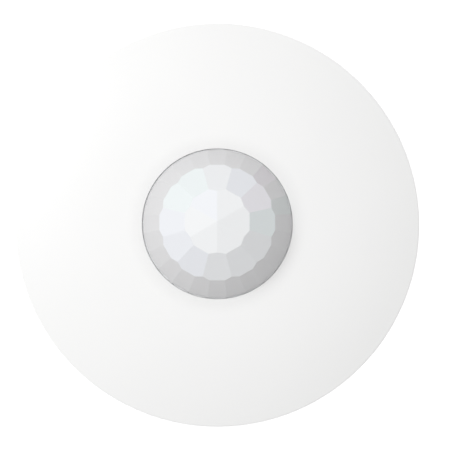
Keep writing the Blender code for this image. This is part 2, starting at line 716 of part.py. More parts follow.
def make_slide_switches(plastic, slider_plastic, head):
    """Block of small slide switches that set the detector's mode."""
    place = (*SWITCHES_PLACE, SEAT)
    block = piece("mode_switch_case", box(SWITCH_BODY), plastic, head, place)
    soften(block, 0.25 * MM)
    rows = [(index - (SWITCH_COUNT - 1) / 2) * SWITCH_PITCH for index in range(SWITCH_COUNT)]
    window_low = SWITCH_BODY[2] - SWITCH_WINDOW[2]
    windows = [box((*SWITCH_WINDOW[:2], 2 * SWITCH_WINDOW[2]), (0.0, y), window_low) for y in rows]
    combine(block, "DIFFERENCE", *windows)
    x0, y0 = SWITCHES_PLACE
    off_side = x0 - SLIDER_TRAVEL / 2
    for number, y in enumerate(rows, 1):
        slider_place = (off_side, y0 + y, SEAT + window_low + GAP)
        slider = piece(f"mode_slider_{number}", box(SLIDER_SIZE), slider_plastic, head, slider_place)
        soften(slider, 0.12 * MM)


def make_led(finish, head):
    """Small round indicator lamp that shines through the lens."""
    radius, dome_base, arc_steps = 1.5 * MM, 3.2 * MM, 5
    rim_radius, rim_height = 1.9 * MM, 0.9 * MM
    profile = [(0.0, 0.0), (rim_radius, 0.0), (rim_radius, rim_height), (radius, rim_height)]
    for index in range(arc_steps):
        across, up = polar(radius, 90.0 * index / arc_steps)
        profile.append((across, dome_base + up))
    profile.append((0.0, dome_base + radius))
    piece("indicator_lamp", turned(profile, SMALL_STEPS), finish, head, (*LED_PLACE, SEAT))


def make_capacitors(finish, head):
    """Upright can capacitors with a crimped neck."""
    radius, height, neck = 3.15 * MM, 6.8 * MM, 2.85 * MM
    profile = [
        (0.0, 0.0),
        (radius, 0.0),
        (radius, 0.7 * MM),
        (neck, 1.1 * MM),
        (radius, 1.5 * MM),
        (radius, height - 0.4 * MM),
        (radius - 0.4 * MM, height),
        (0.0, height),
    ]
    for number, place in enumerate(CAPACITOR_PLACES, 1):
        piece(f"capacitor_{number}", turned(profile, SMALL_STEPS), finish, head, (*place, SEAT))


def chip(name, size, leads_per_side, finish, parent, place, turn=0.0):
    """Flat chip with bent leads along its two long sides."""
    length, width, height = size
    body = box((length, width, height - CHIP_STAND), low=CHIP_STAND)
    made = piece(name, body, finish, parent, (*place, SEAT), turn)
    soften(made, 0.18 * MM)
    lead_width, lead_thickness, reach = 0.42 * MM, 0.25 * MM, 1.1 * MM
    shoulder = height / 2
    legs = []
    for side in (1, -1):
        for index in range(leads_per_side):
            x = (index - (leads_per_side - 1) / 2) * CHIP_PITCH
            root = width / 2 - 0.2 * MM
            legs.append(bent_lead(x, lead_width, side, root, width / 2 + reach, shoulder, lead_thickness))
    combine(made, "UNION", *legs)


def bent_lead(x, lead_width, side, root, tip, shoulder, thickness):
    """One gull-wing lead as a bent strip that runs along Y."""
    knee = root + 0.55 * MM
    section = [
        (root, shoulder),
        (knee, shoulder),
        (knee, thickness),
        (tip, thickness),
        (tip, 0.0),
        (knee - thickness, 0.0),
        (knee - thickness, shoulder - thickness),
        (root, shoulder - thickness),
    ]
    shape = bmesh.new()
    half = lead_width / 2
    face = shape.faces.new([shape.verts.new((x - half, side * y, z)) for y, z in section])
    raised = bmesh.ops.extrude_face_region(shape, geom=[face])
    moved = [item for item in raised["geom"] if isinstance(item, bmesh.types.BMVert)]
    bmesh.ops.translate(shape, verts=moved, vec=(lead_width, 0.0, 0.0))
    bmesh.ops.recalc_face_normals(shape, faces=shape.faces[:])
    return shape


def make_crystal(finish, head):
    """Flat metal can of the timing crystal on its rim."""
    place = (*CRYSTAL_PLACE, SEAT)
    rim = extruded(stadium(11.4 * MM, 5.0 * MM, (0.0, 0.0), 0.0), 0.0, 0.5 * MM)
    crystal = piece("timing_crystal", rim, finish, head, place)
    combine(crystal, "UNION", extruded(stadium(10.4 * MM, 4.0 * MM, (0.0, 0.0), 0.0), 0.2 * MM, 3.4 * MM))


def make_diode(finish, head):
    """Diode lying on its bent leads."""
    body_radius, half_body, body_height = 1.3 * MM, 2.6 * MM, 1.9 * MM
    lead_radius, half_span = 0.35 * MM, 4.2 * MM
    shape = rod(body_radius, -half_body, half_body, steps=TINY_STEPS)
    for vert in shape.verts:
        vert.co = Vector((vert.co.z, vert.co.y, body_height - vert.co.x))
    bmesh.ops.recalc_face_normals(shape, faces=shape.faces[:])
    diode = piece("supply_diode", shape, finish, head, (*DIODE_PLACE, SEAT), 90.0)
    legs = []
    for side in (1, -1):
        tall = body_height + lead_radius
        legs.append(box((2 * lead_radius, 2 * lead_radius, tall), (side * half_span, 0.0)))
    combine(diode, "UNION", *legs)
    bar = (2 * half_span, 1.6 * lead_radius, 1.6 * lead_radius)
    combine(diode, "UNION", box(bar, low=body_height - 0.8 * lead_radius))


def make_relay(finish, head):
    """Case of the alarm relay."""
    relay = piece("alarm_relay", box(RELAY_SIZE), finish, head, (*RELAY_PLACE, SEAT), RELAY_TURN)
    soften(relay, 0.5 * MM)


# ---------------------------------------------------------------- cover and lens


def make_front_cover(finish, cover):
    """Domed shell with the lens opening, its bosses, the tamper post and a notch to pry it off."""
    edge = COVER_RADIUS - COVER_EDGE_ROUND
    outer = [(COVER_RADIUS, crown_height(edge, 0.0) - COVER_EDGE_ROUND)] + crown_arc(edge, 0.0, CROWN_STEPS)
    inner = list(reversed(crown_arc(COVER_INNER_RADIUS, COVER_WALL, CROWN_STEPS // 2)))
    underside = COVER_FRONT - COVER_WALL
    profile = [(COVER_RADIUS, COVER_FOOT)] + outer
    profile += [(COVER_OPENING, COVER_FRONT), (COVER_OPENING, underside)]
    profile += inner + [(COVER_INNER_RADIUS, COVER_FOOT)]
    shell = piece("front_cover", turned(profile, SHELL_STEPS), finish, cover)

    inside_wall = underside + COVER_WALL / 2
    bosses = [
        rod(RETAINER_BOSS_RADIUS, RETAINER_TOP + GAP, inside_wall, polar(RETAINER_SCREW_RADIUS, angle))
        for angle in RETAINER_SCREW_ANGLES
    ]
    post_low = SEAT + TAMPER_STEM_TOP + GAP
    post_top = crown_height(math.hypot(*TAMPER_PLACE), COVER_WALL / 2)
    combine(shell, "UNION", *bosses, rod(TAMPER_POST_RADIUS, post_low, post_top, TAMPER_PLACE))
    pilots = [
        rod(PILOT_HOLE_RADIUS, RETAINER_TOP, PILOT_TOP, polar(RETAINER_SCREW_RADIUS, angle), TINY_STEPS)
        for angle in RETAINER_SCREW_ANGLES
    ]
    notch_size = (PRY_NOTCH_WIDTH, 3 * COVER_SIDE_WALL, PRY_NOTCH_TOP)
    notch = box(notch_size, (0.0, -COVER_RADIUS))
    combine(shell, "DIFFERENCE", *pilots, notch)


def facet_planes():
    """Yield a point and a unit normal for every facet, worked outwards from the lens's tip."""
    tip = lens_tip()
    height, last_radius, last_tilt = tip, 0.0, 0.0
    for count, tilt, radius in LENS_RINGS:
        height -= (radius - last_radius) * math.tan(math.radians(last_tilt))
        for index in range(count):
            angle = 360.0 * index / count
            side_x, side_y = polar(math.sin(math.radians(tilt)), angle)
            x, y = polar(radius, angle)
            yield Vector((x, y, height)), Vector((side_x, side_y, math.cos(math.radians(tilt))))
        last_radius, last_tilt = radius, tilt


def lens_tip():
    """Height of the lens's tip, such that its rim meets the front of the cover."""
    height = COVER_FRONT
    ends = [start for _, _, start in LENS_RINGS[1:]] + [LENS_RADIUS]
    for (_, tilt, start), end in zip(LENS_RINGS, ends):
        height += (end - start) * math.tan(math.radians(tilt))
    return height


def faceted_dome(inset, low):
    """Round bar cut by every facet plane, all moved inwards by inset."""
    dome = rod(LENS_RADIUS - inset, low, lens_tip() + MM, steps=SHELL_STEPS)
    for point, normal in facet_planes():
        everything = dome.verts[:] + dome.edges[:] + dome.faces[:]
        cut = bmesh.ops.bisect_plane(
            dome,
            geom=everything,
            dist=MERGE,
            plane_co=point - inset * normal,
            plane_no=normal,
            clear_outer=True,
        )
        rim = [item for item in cut["geom_cut"] if isinstance(item, bmesh.types.BMEdge)]
        bmesh.ops.contextual_create(dome, geom=rim)
    bmesh.ops.remove_doubles(dome, verts=dome.verts[:], dist=MERGE)
    bmesh.ops.recalc_face_normals(dome, faces=dome.faces[:])
    return dome


def make_lens(finish, cover):
    """Thin faceted dome with a flange that sits under the cover's lip."""
    lens = piece("fresnel_lens", faceted_dome(0.0, LENS_SKIRT_LOW), finish, cover)
    flange_inner = LENS_RADIUS - LENS_WALL / 2
    flange = [
        (flange_inner, LENS_SKIRT_LOW),
        (LENS_FLANGE_RADIUS, LENS_SKIRT_LOW),
        (LENS_FLANGE_RADIUS, LENS_FLANGE_TOP),
        (flange_inner, LENS_FLANGE_TOP),
    ]
    lens.data.set_sharp_from_angle(angle=FACET_SHARP_ANGLE)
    combine(lens, "UNION", turned(flange, SHELL_STEPS))
    combine(lens, "DIFFERENCE", faceted_dome(LENS_WALL, LENS_SKIRT_LOW - MM))


def make_retainer(plastic, steel, cover):
    """Ring that clamps the lens's flange, with its three screws."""
    profile = [
        (RETAINER_INNER, RETAINER_LOW),
        (RETAINER_OUTER, RETAINER_LOW),
        (RETAINER_OUTER, RETAINER_TOP),
        (RETAINER_INNER, RETAINER_TOP),
    ]
    ring = piece("lens_retainer", turned(profile, RING_STEPS), plastic, cover)
    places = [polar(RETAINER_SCREW_RADIUS, angle) for angle in RETAINER_SCREW_ANGLES]
    hole_ends = (RETAINER_LOW - GAP, RETAINER_TOP + GAP)
    holes = [rod(PILOT_HOLE_RADIUS, *hole_ends, place, TINY_STEPS) for place in places]
    combine(ring, "DIFFERENCE", *holes)
    sizes = (1.9 * MM, 1.2 * MM, 0.8 * MM, 3.6 * MM)
    for number, (x, y) in enumerate(places, 1):
        screw = pan_head_screw(f"retainer_screw_{number}", steel, cover, (x, y, RETAINER_LOW - GAP), sizes)
        screw.rotation_euler = (math.pi, 0.0, 0.0)


# ---------------------------------------------------------------- the whole detector


def main():
    clear_scene()
    white = material("white_plastic", WHITE, 0.45)
    grey = material("pale_grey_plastic", PALE_GREY, 0.5)
    lens_plastic = material("lens_plastic", LENS_WHITE, 0.5)
    rubber = material("black_rubber", (0.03, 0.03, 0.03, 1.0), 0.8)
    foam = material("dark_foam", (0.07, 0.07, 0.08, 1.0), 0.95)
    board_green = material("board_green", (0.03, 0.20, 0.08, 1.0), 0.4)
    steel = material("steel", (0.62, 0.62, 0.63, 1.0), 0.3, 1.0)
    brass = material("brass", (0.75, 0.58, 0.28, 1.0), 0.35, 1.0)
    dark_glass = material("dark_glass", (0.06, 0.07, 0.09, 1.0), 0.1)
    terminal_green = material("terminal_green", (0.06, 0.32, 0.14, 1.0), 0.45)
    black = material("black_plastic", (0.02, 0.02, 0.022, 1.0), 0.45)
    blue = material("blue_plastic", (0.04, 0.12, 0.45, 1.0), 0.4)
    red = material("red_resin", (0.60, 0.03, 0.02, 1.0), 0.15)
    sleeve = material("capacitor_sleeve", (0.05, 0.05, 0.07, 1.0), 0.35)

    make_ceiling_plate(white)
    head = empty("head_turn_axis", (0.0, 0.0, 0.0))
    make_tray(grey, head)
    make_grommet(rubber, head)
    make_board(board_green, head)
    make_board_screws(steel, head)
    make_sensor(steel, dark_glass, foam, head)
    make_terminals(terminal_green, steel, brass, head)
    make_tamper_switch(black, white, steel, head)
    make_trimmer(blue, white, head)
    make_slide_switches(blue, white, head)
    make_led(red, head)
    make_capacitors(sleeve, head)
    chip("controller_chip", CONTROLLER_SIZE, CONTROLLER_LEADS, black, head, CONTROLLER_PLACE)
    chip("amplifier_chip", AMPLIFIER_SIZE, AMPLIFIER_LEADS, black, head, AMPLIFIER_PLACE, 90.0)
    make_crystal(steel, head)
    make_diode(black, head)
    make_relay(black, head)

    cover = empty("cover_lift_axis", (0.0, 0.0, 0.0), head)
    make_front_cover(white, cover)
    make_lens(lens_plastic, cover)
    make_retainer(grey, steel, cover)


main()
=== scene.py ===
"""Looks of the round ceiling motion detector: cover, lens, board, materials, light and camera."""

import math
import random

import bmesh
import bpy
from mathutils import Matrix, Vector


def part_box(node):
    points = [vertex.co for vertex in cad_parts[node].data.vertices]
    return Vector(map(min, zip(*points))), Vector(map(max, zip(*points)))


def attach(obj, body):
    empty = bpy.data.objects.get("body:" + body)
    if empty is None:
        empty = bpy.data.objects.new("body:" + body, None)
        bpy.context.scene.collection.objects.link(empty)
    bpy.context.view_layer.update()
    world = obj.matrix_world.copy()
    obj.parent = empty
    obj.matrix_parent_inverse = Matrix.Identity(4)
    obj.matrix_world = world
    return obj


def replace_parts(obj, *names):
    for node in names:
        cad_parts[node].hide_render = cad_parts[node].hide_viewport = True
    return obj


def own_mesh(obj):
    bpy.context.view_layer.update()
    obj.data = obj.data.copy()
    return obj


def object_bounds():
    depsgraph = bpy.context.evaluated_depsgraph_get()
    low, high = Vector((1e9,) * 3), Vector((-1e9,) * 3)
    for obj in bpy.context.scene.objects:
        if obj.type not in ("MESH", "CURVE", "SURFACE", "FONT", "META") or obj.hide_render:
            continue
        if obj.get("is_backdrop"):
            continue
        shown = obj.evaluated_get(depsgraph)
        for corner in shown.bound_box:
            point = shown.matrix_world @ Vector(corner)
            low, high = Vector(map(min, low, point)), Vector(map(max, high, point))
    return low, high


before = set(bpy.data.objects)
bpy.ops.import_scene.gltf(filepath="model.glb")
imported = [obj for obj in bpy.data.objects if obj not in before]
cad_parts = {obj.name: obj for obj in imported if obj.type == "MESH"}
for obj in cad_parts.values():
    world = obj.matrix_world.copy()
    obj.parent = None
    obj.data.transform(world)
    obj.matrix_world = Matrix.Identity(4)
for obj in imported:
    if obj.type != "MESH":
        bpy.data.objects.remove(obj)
cad_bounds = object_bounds()

MM = 0.001
MERGE = 0.001 * MM
SHARP_ANGLE = math.radians(32.0)
FACET_SHARP_ANGLE = math.radians(4.0)
COVER_STEPS = 240
LENS_STEPS = 192
SMALL_STEPS = 40
SQUARE_CORNERS = ((-1, -1), (1, -1), (1, 1), (-1, 1))

# Camera: almost square on to the front, a little from the -Y side
VIEW_WIDTH = 129.8 * MM  # what the picture is wide at the housing's edge
VIEW_HEIGHT_Z = 13.0 * MM
VIEW_DISTANCE = 0.9
VIEW_TILT = math.radians(2.6)
VIEW_CENTRE = (2.19 * MM, 0.01 * MM)
VIEW_CLIP_START = 0.01

# Light
KEY_AZIMUTH = 150.0  # degrees from +X
KEY_FROM_VERTICAL = math.radians(35.0)
KEY_DISTANCE = 1.1
KEY_SIZE = 0.45
KEY_POWER = 3.4
SKY_TOP = 0.82  # straight up, fading to nothing at the horizon
SKY_SIDE = 0.40  # extra on the lamp's side, fading to nothing on the other
FLOOR_GLOW = 0.86
FLOOR_WHITE = 0.32
FLOOR_HALF_WIDTH = 2.5
FLOOR_GAP = 0.02 * MM

# Front cover in section
CROWN_RADIUS = 120.0 * MM
CROWN_FLAT = 25.0 * MM
COVER_WALL = 2.0 * MM
COVER_SIDE_WALL = 2.2 * MM
COVER_OPENING = 21.5 * MM
# Painted shade round the lens: the front's colour is darkened by this share at the opening, fading out over
# the reach
PAINTED_SHADE = 0.055
PAINTED_SHADE_REACH = 5.0 * MM
CROWN_STEPS = 28
FIT_GAP = 0.3 * MM  # left between two CAD parts that touch
COVER_FOOT_ROUND = 0.4 * MM
COVER_EDGE_ROUND = 0.35 * MM
COVER_OPENING_ROUND = 0.22 * MM
CROWN_INSET = 0.6 * MM  # from the housing's side in to where the front's arc starts
BOSS_RADIUS = 2.1 * MM
PILOT_RADIUS = 1.15 * MM
TAMPER_POST_RADIUS = 1.8 * MM
PRY_NOTCH = (10.0 * MM, 6.6 * MM, 4.0 * MM)
PRY_NOTCH_DROP = 2.4 * MM
PRY_NOTCH_ROUND = 0.5 * MM

# Lens
LENS_REACH = 21.08 * MM  # from the axis to the middle of a side of the many-sided base
LENS_SHOULDER = 21.43 * MM
LENS_SHOULDER_DROP = 0.65 * MM
LENS_WALL = 0.7 * MM
LENS_FLANGE_THICKNESS = 1.2 * MM
# Rings from the tip out: (number of facets, tilt in degrees, border radius)
LENS_RINGS = ((6, 11.0, 0.0), (12, 38.0, 9.1 * MM), (24, 58.0, 16.4 * MM))
# Each ring's white is darker the steeper its facets: painted shade that deepens the outer rings
LENS_WHITES_PAINTED_SHADE = ((0.885, 0.895, 0.905), (0.832, 0.842, 0.856), (0.718, 0.716, 0.724))
CYAN_FACETS = ((1, 0), (1, 4), (1, 5), (2, 1))  # (ring, facet)
BLUE_FACETS = ((0, 2), (1, 2), (1, 6), (1, 7), (1, 8))
LILAC_FACETS = ((1, 1), (2, 3))
CYAN_CAST = (0.965, 1.005, 0.995)
BLUE_CAST = (0.985, 0.99, 1.015)
LILAC_CAST = (1.005, 0.98, 1.005)
GROOVE_PITCH = 0.35 * MM

# Chips: (node, size, leads on each side, turn in degrees)
CHIPS = (
    ("controller_chip", (12.8 * MM, 7.5 * MM, 2.4 * MM), 10, 0.0),
    ("amplifier_chip", (4.9 * MM, 3.9 * MM, 1.6 * MM), 4, 90.0),
)
CHIP_STAND = 0.15 * MM
CHIP_TAPER = 0.12 * MM
CHIP_ROUND = 0.05 * MM
DIMPLE_INSET = 0.9 * MM
DIMPLE_RADIUS = 0.4 * MM
DIMPLE_DEPTH = 0.08 * MM
DIMPLE_STEPS = 20
LEAD_PITCH = 1.27 * MM
LEAD_WIDTH = 0.42 * MM
LEAD_THICKNESS = 0.2 * MM
LEAD_ROOT = 0.1 * MM  # inside the body
LEAD_KNEE = 0.5 * MM
LEAD_TIP = 1.2 * MM

# Spring and diode; wire values are radii
WIRE_SIDES = 12
NEARLY_UPRIGHT = 0.05
SPRING_WIRE = 0.14 * MM
SPRING_TURNS = 3
SPRING_STEPS = 28  # in each turn
DIODE_RADIUS = 1.3 * MM
DIODE_HALF = 2.6 * MM
DIODE_CORNER = 0.25 * MM
DIODE_AXIS = 1.9 * MM  # height above the wires' ends
DIODE_WIRE = 0.35 * MM
DIODE_BEND = 0.8 * MM
DIODE_BAND_DEPTH = 0.1 * MM
DIODE_BAND_PROUD = 0.03 * MM
DIODE_BAND_INSETS = (1.1 * MM, 0.5 * MM)  # from the barrel's end
BEND_STEPS = 6

# Bare ends of the capacitor cans
CAN_SLEEVE_EDGE = 0.75 * MM
CAN_TOP_SINK = 0.2 * MM
CAN_TOP_PROUD = 0.06 * MM
CAN_TOP_CORNER = 0.1 * MM
CAN_GROOVE_WIDTH = 0.25 * MM
CAN_GROOVE_DEPTH = 0.1 * MM

# Board's face
BOARD_PARTS = (
    "terminal_block",
    "tamper_case",
    "alarm_relay",
    "range_trimmer_case",
    "mode_switch_case",
    "indicator_lamp",
    "capacitor_1",
    "capacitor_2",
    "controller_chip",
    "amplifier_chip",
    "timing_crystal",
    "supply_diode",
    "sensor_seal",
)
TRACK_ROUTES = (  # (from, to, shift of the first end from the part's middle in millimetres)
    ("terminal_block", "supply_diode", (6.0, -4.5)),
    ("terminal_block", "capacitor_2", (9.0, -5.0)),
    ("terminal_block", "range_trimmer_case", (-8.0, -4.5)),
    ("terminal_block", "alarm_relay", (3.0, -5.5)),
    ("supply_diode", "capacitor_2", (2.0, -4.0)),
    ("capacitor_2", "capacitor_1", (3.5, 0.0)),
    ("capacitor_1", "alarm_relay", (1.5, -5.0)),
    ("sensor_seal", "amplifier_chip", (-6.0, -3.0)),
    ("sensor_seal", "amplifier_chip", (-5.0, -5.5)),
    ("amplifier_chip", "controller_chip", (0.5, -6.0)),
    ("amplifier_chip", "controller_chip", (-1.5, -6.5)),
    ("amplifier_chip", "mode_switch_case", (-5.0, 2.0)),
    ("controller_chip", "timing_crystal", (9.0, 1.0)),
    ("controller_chip", "timing_crystal", (9.5, -1.5)),
    ("controller_chip", "tamper_case", (-9.0, 3.0)),
    ("controller_chip", "indicator_lamp", (4.0, 6.5)),
    ("controller_chip", "alarm_relay", (8.0, 5.0)),
    ("mode_switch_case", "tamper_case", (1.5, -6.5)),
    ("range_trimmer_case", "mode_switch_case", (-1.0, -5.5)),
)
TRACK_END_SHARE = 0.35  # of the shift, at the last end
TRACK_WIDTH = 0.45 * MM
TRACK_LOW = 0.005 * MM
TRACK_HIGH = 0.045 * MM
LAND_PROUD = 0.01 * MM
LAND_STEPS = 16
SCREW_PAD_RADII = (1.7 * MM, 3.3 * MM)
PAD_THICKNESS = 0.05 * MM
SMALL_PART = (2.0 * MM, 1.25 * MM, 0.55 * MM)
SMALL_PART_STAND = 0.08 * MM
END_CAP_DROP = 0.03 * MM
END_CAP_ROUND = 0.08 * MM
GRID_PITCH = 4.6 * MM
GRID_REACH = 9
CLEAR_OF_EDGE = 3.0 * MM
CLEAR_OF_SCREW = 6.0 * MM
CLEAR_OF_CABLE = 10.0 * MM
CLEAR_OF_PART = 6.5 * MM
CLEAR_OF = {
    "terminal_block": 14.0 * MM,
    "controller_chip": 9.5 * MM,
    "alarm_relay": 10.0 * MM,
    "sensor_seal": 10.0 * MM,
    "timing_crystal": 8.0 * MM,
    "mode_switch_case": 7.5 * MM,
}
INK_WIDTH = 0.2 * MM
INK_THICKNESS = 0.02 * MM
SQUARE_PRINTS = ("terminal_block", "tamper_case", "range_trimmer_case", "mode_switch_case")
SQUARE_PRINT_MARGIN = 0.8 * MM
ROUND_PRINTS = ("capacitor_1", "capacitor_2", "indicator_lamp", "sensor_seal")
ROUND_PRINT_MARGIN = 0.6 * MM


# ---------------------------------------------------------------- mesh helpers


def polar(radius, degrees):
    """Plan point at a radius and an angle from +X."""
    angle = math.radians(degrees)
    return radius * math.cos(angle), radius * math.sin(angle)


def middle_of(node):
    """Centre of a CAD node's box."""
    low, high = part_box(node)
    return (low + high) / 2


def numbered(base, count):
    """Names of repeated nodes."""
    return [f"{base}_{number}" for number in range(1, count + 1)]


def add_piece(name, shape, look, body, slot_name, sharp=SHARP_ANGLE):
    """Turn a bmesh, drawn in the row frame, into a piece that rides on a body."""
    mesh = bpy.data.meshes.new(name)
    shape.to_mesh(mesh)
    shape.free()
    mesh.shade_smooth()
    mesh.set_sharp_from_angle(angle=sharp)
    made = bpy.data.objects.new(name, mesh)
    bpy.context.scene.collection.objects.link(made)
    mesh.materials.append(look)
    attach(made, body)
    return made


def lathe(profile, steps, centre=(0.0, 0.0)):
    """Spin a closed profile of (radius, height) points about an upright axis."""
    shape = bmesh.new()
    corners = [shape.verts.new((radius, 0.0, height)) for radius, height in profile]
    for here, there in zip(corners, corners[1:] + corners[:1]):
        if here.co.x > 0.0 or there.co.x > 0.0:
            shape.edges.new((here, there))
    bmesh.ops.spin(
        shape,
        geom=shape.verts[:] + shape.edges[:],
        cent=(0.0, 0.0, 0.0),
        axis=(0.0, 0.0, 1.0),
        angle=math.tau,
        steps=steps,
        use_merge=True,
    )
    bmesh.ops.remove_doubles(shape, verts=shape.verts[:], dist=MERGE)
    bmesh.ops.recalc_face_normals(shape, faces=shape.faces[:])
    bmesh.ops.translate(shape, verts=shape.verts[:], vec=(*centre, 0.0))
    return shape


def prism(outline, low, high):
    """Raise a plan outline from one height to another."""
    shape = bmesh.new()
    base = shape.faces.new([shape.verts.new((x, y, low)) for x, y in outline])
    raised = bmesh.ops.extrude_face_region(shape, geom=[base])
    top = [item for item in raised["geom"] if isinstance(item, bmesh.types.BMVert)]
    bmesh.ops.translate(shape, verts=top, vec=(0.0, 0.0, high - low))
    bmesh.ops.recalc_face_normals(shape, faces=shape.faces[:])
    return shape


def disc_outline(radius, centre=(0.0, 0.0), steps=SMALL_STEPS):
    """Outline of a circle."""
    spots = [polar(radius, 360.0 * index / steps) for index in range(steps)]
    return [(centre[0] + x, centre[1] + y) for x, y in spots]


def block(size, centre, low):
    """Upright block with its edges still sharp."""
    width, depth, height = size
    x, y = centre
    outline = [(x + side * width / 2, y + end * depth / 2) for side, end in SQUARE_CORNERS]
    return prism(outline, low, low + height)


def merged(shapes):
    """Put several bmeshes into one."""
    mesh = bpy.data.meshes.new("merging")
    joined = bmesh.new()
    for shape in shapes:
        shape.to_mesh(mesh)
        shape.free()
        joined.from_mesh(mesh)
    bpy.data.meshes.remove(mesh)
    return joined


def turn_about(shape, degrees, centre):
    """Turn a bmesh about an upright axis."""
    turn = Matrix.Rotation(math.radians(degrees), 3, "Z")
    bmesh.ops.rotate(shape, verts=shape.verts[:], cent=(*centre, 0.0), matrix=turn)
    return shape


def round_edges(shape, width):
    """Round a bmesh's sharp edges."""
    edges = [edge for edge in shape.edges if edge.calc_face_angle(0.0) > SHARP_ANGLE]
    bmesh.ops.bevel(shape, geom=edges, offset=width, segments=2, profile=0.5, affect="EDGES")
    return shape


def carve(target, operation, shape):
    """Cut a shape out of a piece, or weld it on, and keep only the result."""
    mesh = bpy.data.meshes.new("carving")
    shape.to_mesh(mesh)
    shape.free()
    tool = bpy.data.objects.new("carving", mesh)
    bpy.context.scene.collection.objects.link(tool)
    change = target.modifiers.new("carving", "BOOLEAN")
    change.operation = operation
    change.solver = "EXACT"
    change.object = tool
    bpy.context.view_layer.update()
    depsgraph = bpy.context.evaluated_depsgraph_get()
    result = bpy.data.meshes.new_from_object(target.evaluated_get(depsgraph))
    target.modifiers.remove(change)
    target.data = result
    bpy.data.objects.remove(tool, do_unlink=True)
    result.shade_smooth()
    result.set_sharp_from_angle(angle=SHARP_ANGLE)


# ---------------------------------------------------------------- material helpers


class Look:
    """A material under construction, with short ways to add nodes to it."""

    def __init__(self, name, colour, roughness, metallic=0.0):
        self.material = bpy.data.materials.new(name)
        self.material.use_nodes = True
        self.tree = self.material.node_tree
        self.shader = self.tree.nodes["Principled BSDF"]
        self.shader.inputs["Base Color"].default_value = (*colour, 1.0)
        self.shader.inputs["Roughness"].default_value = roughness
        self.shader.inputs["Metallic"].default_value = metallic
        self.place = self.node("ShaderNodeTexCoord").outputs["Object"]

    def node(self, kind, **settings):
        """Add a node and set its own properties."""
        made = self.tree.nodes.new(kind)
        for name, value in settings.items():
            setattr(made, name, value)
        return made

    def link(self, output, target):
        """Lead one socket to another."""
        self.tree.links.new(output, target)

    def noise(self, scale, detail=3.0, stretch=(1.0, 1.0, 1.0)):
        """Noise value; scale is in features per metre."""
        mapping = self.node("ShaderNodeMapping")
        mapping.inputs["Scale"].default_value = stretch
        self.link(self.place, mapping.inputs["Vector"])
        made = self.node("ShaderNodeTexNoise")
        made.inputs["Scale"].default_value = scale
        made.inputs["Detail"].default_value = detail
        self.link(mapping.outputs["Vector"], made.inputs["Vector"])
        return made.outputs["Fac"]

    def blend_colours(self, factor, first, second):
        """Colour between two, led by a value."""
        mix = self.node("ShaderNodeMix", data_type="RGBA")
        mix.inputs["A"].default_value = (*first, 1.0)
        mix.inputs["B"].default_value = (*second, 1.0)
        self.link(factor, mix.inputs["Factor"])
        return mix.outputs["Result"]

    def mottle(self, first, second, scale, detail=4.0):
        """Slow change of colour over the surface."""
        colour = self.blend_colours(self.noise(scale, detail), first, second)
        self.link(colour, self.shader.inputs["Base Color"])
        return colour

    def vary_roughness(self, low, high, scale, stretch=(1.0, 1.0, 1.0)):
        """Roughness that moves between two values."""
        spread = self.node("ShaderNodeMapRange")
        spread.inputs["To Min"].default_value = low
        spread.inputs["To Max"].default_value = high
        self.link(self.noise(scale, 4.0, stretch), spread.inputs["Value"])
        self.link(spread.outputs["Result"], self.shader.inputs["Roughness"])

    def bump(self, height, distance, strength=1.0):
        """Add a bump on top of whatever bump is there."""
        made = self.node("ShaderNodeBump")
        made.inputs["Distance"].default_value = distance
        made.inputs["Strength"].default_value = strength
        self.link(height, made.inputs["Height"])
        before = self.shader.inputs["Normal"].links
        if before:
            self.link(before[0].from_socket, made.inputs["Normal"])
        self.link(made.outputs["Normal"], self.shader.inputs["Normal"])

    def round_corners(self, radius):
        """Shade sharp corners as if they had a small radius."""
        rounded = self.node("ShaderNodeBevel", samples=6)
        rounded.inputs["Radius"].default_value = radius
        self.link(rounded.outputs["Normal"], self.shader.inputs["Normal"])

    def set(self, name, value):
        """Set a value of the shader itself."""
        self.shader.inputs[name].default_value = value


# ---------------------------------------------------------------- materials


def moulded_white(name):
    """Satin white housing plastic with a very fine spark-eroded skin."""
    look = Look(name, (0.93, 0.93, 0.925), 0.45)
    colour = look.mottle((0.925, 0.925, 0.922), (0.94, 0.94, 0.934), 45.0)
    look.vary_roughness(0.42, 0.52, 900.0)
    look.bump(look.noise(2600.0, 2.0), 0.010 * MM, 0.35)
    look.bump(look.noise(70.0, 1.0), 0.05 * MM, 0.25)
    return look, colour


def cover_white_painted_shade():
    """The same plastic, with painted shade: a little grey in a ring round the lens."""
    look, colour = moulded_white("cover_white_painted_shade")
    flat = look.node("ShaderNodeVectorMath", operation="MULTIPLY")
    flat.inputs[1].default_value = (1.0, 1.0, 0.0)
    look.link(look.place, flat.inputs[0])
    reach = look.node("ShaderNodeVectorMath", operation="LENGTH")
    look.link(flat.outputs["Vector"], reach.inputs[0])
    # Painted shade: the colour is scaled down at the lens opening and back to full over the reach
    fade = look.node("ShaderNodeMapRange", interpolation_type="SMOOTHSTEP")
    fade.inputs["From Min"].default_value = COVER_OPENING
    fade.inputs["From Max"].default_value = COVER_OPENING + PAINTED_SHADE_REACH
    fade.inputs["To Min"].default_value = 1.0 - PAINTED_SHADE
    fade.inputs["To Max"].default_value = 1.0
    look.link(reach.outputs["Value"], fade.inputs["Value"])
    painted_shade_colour = look.node("ShaderNodeVectorMath", operation="SCALE")
    look.link(colour, painted_shade_colour.inputs[0])
    look.link(fade.outputs["Result"], painted_shade_colour.inputs["Scale"])
    look.link(painted_shade_colour.outputs["Vector"], look.shader.inputs["Base Color"])
    return look.material


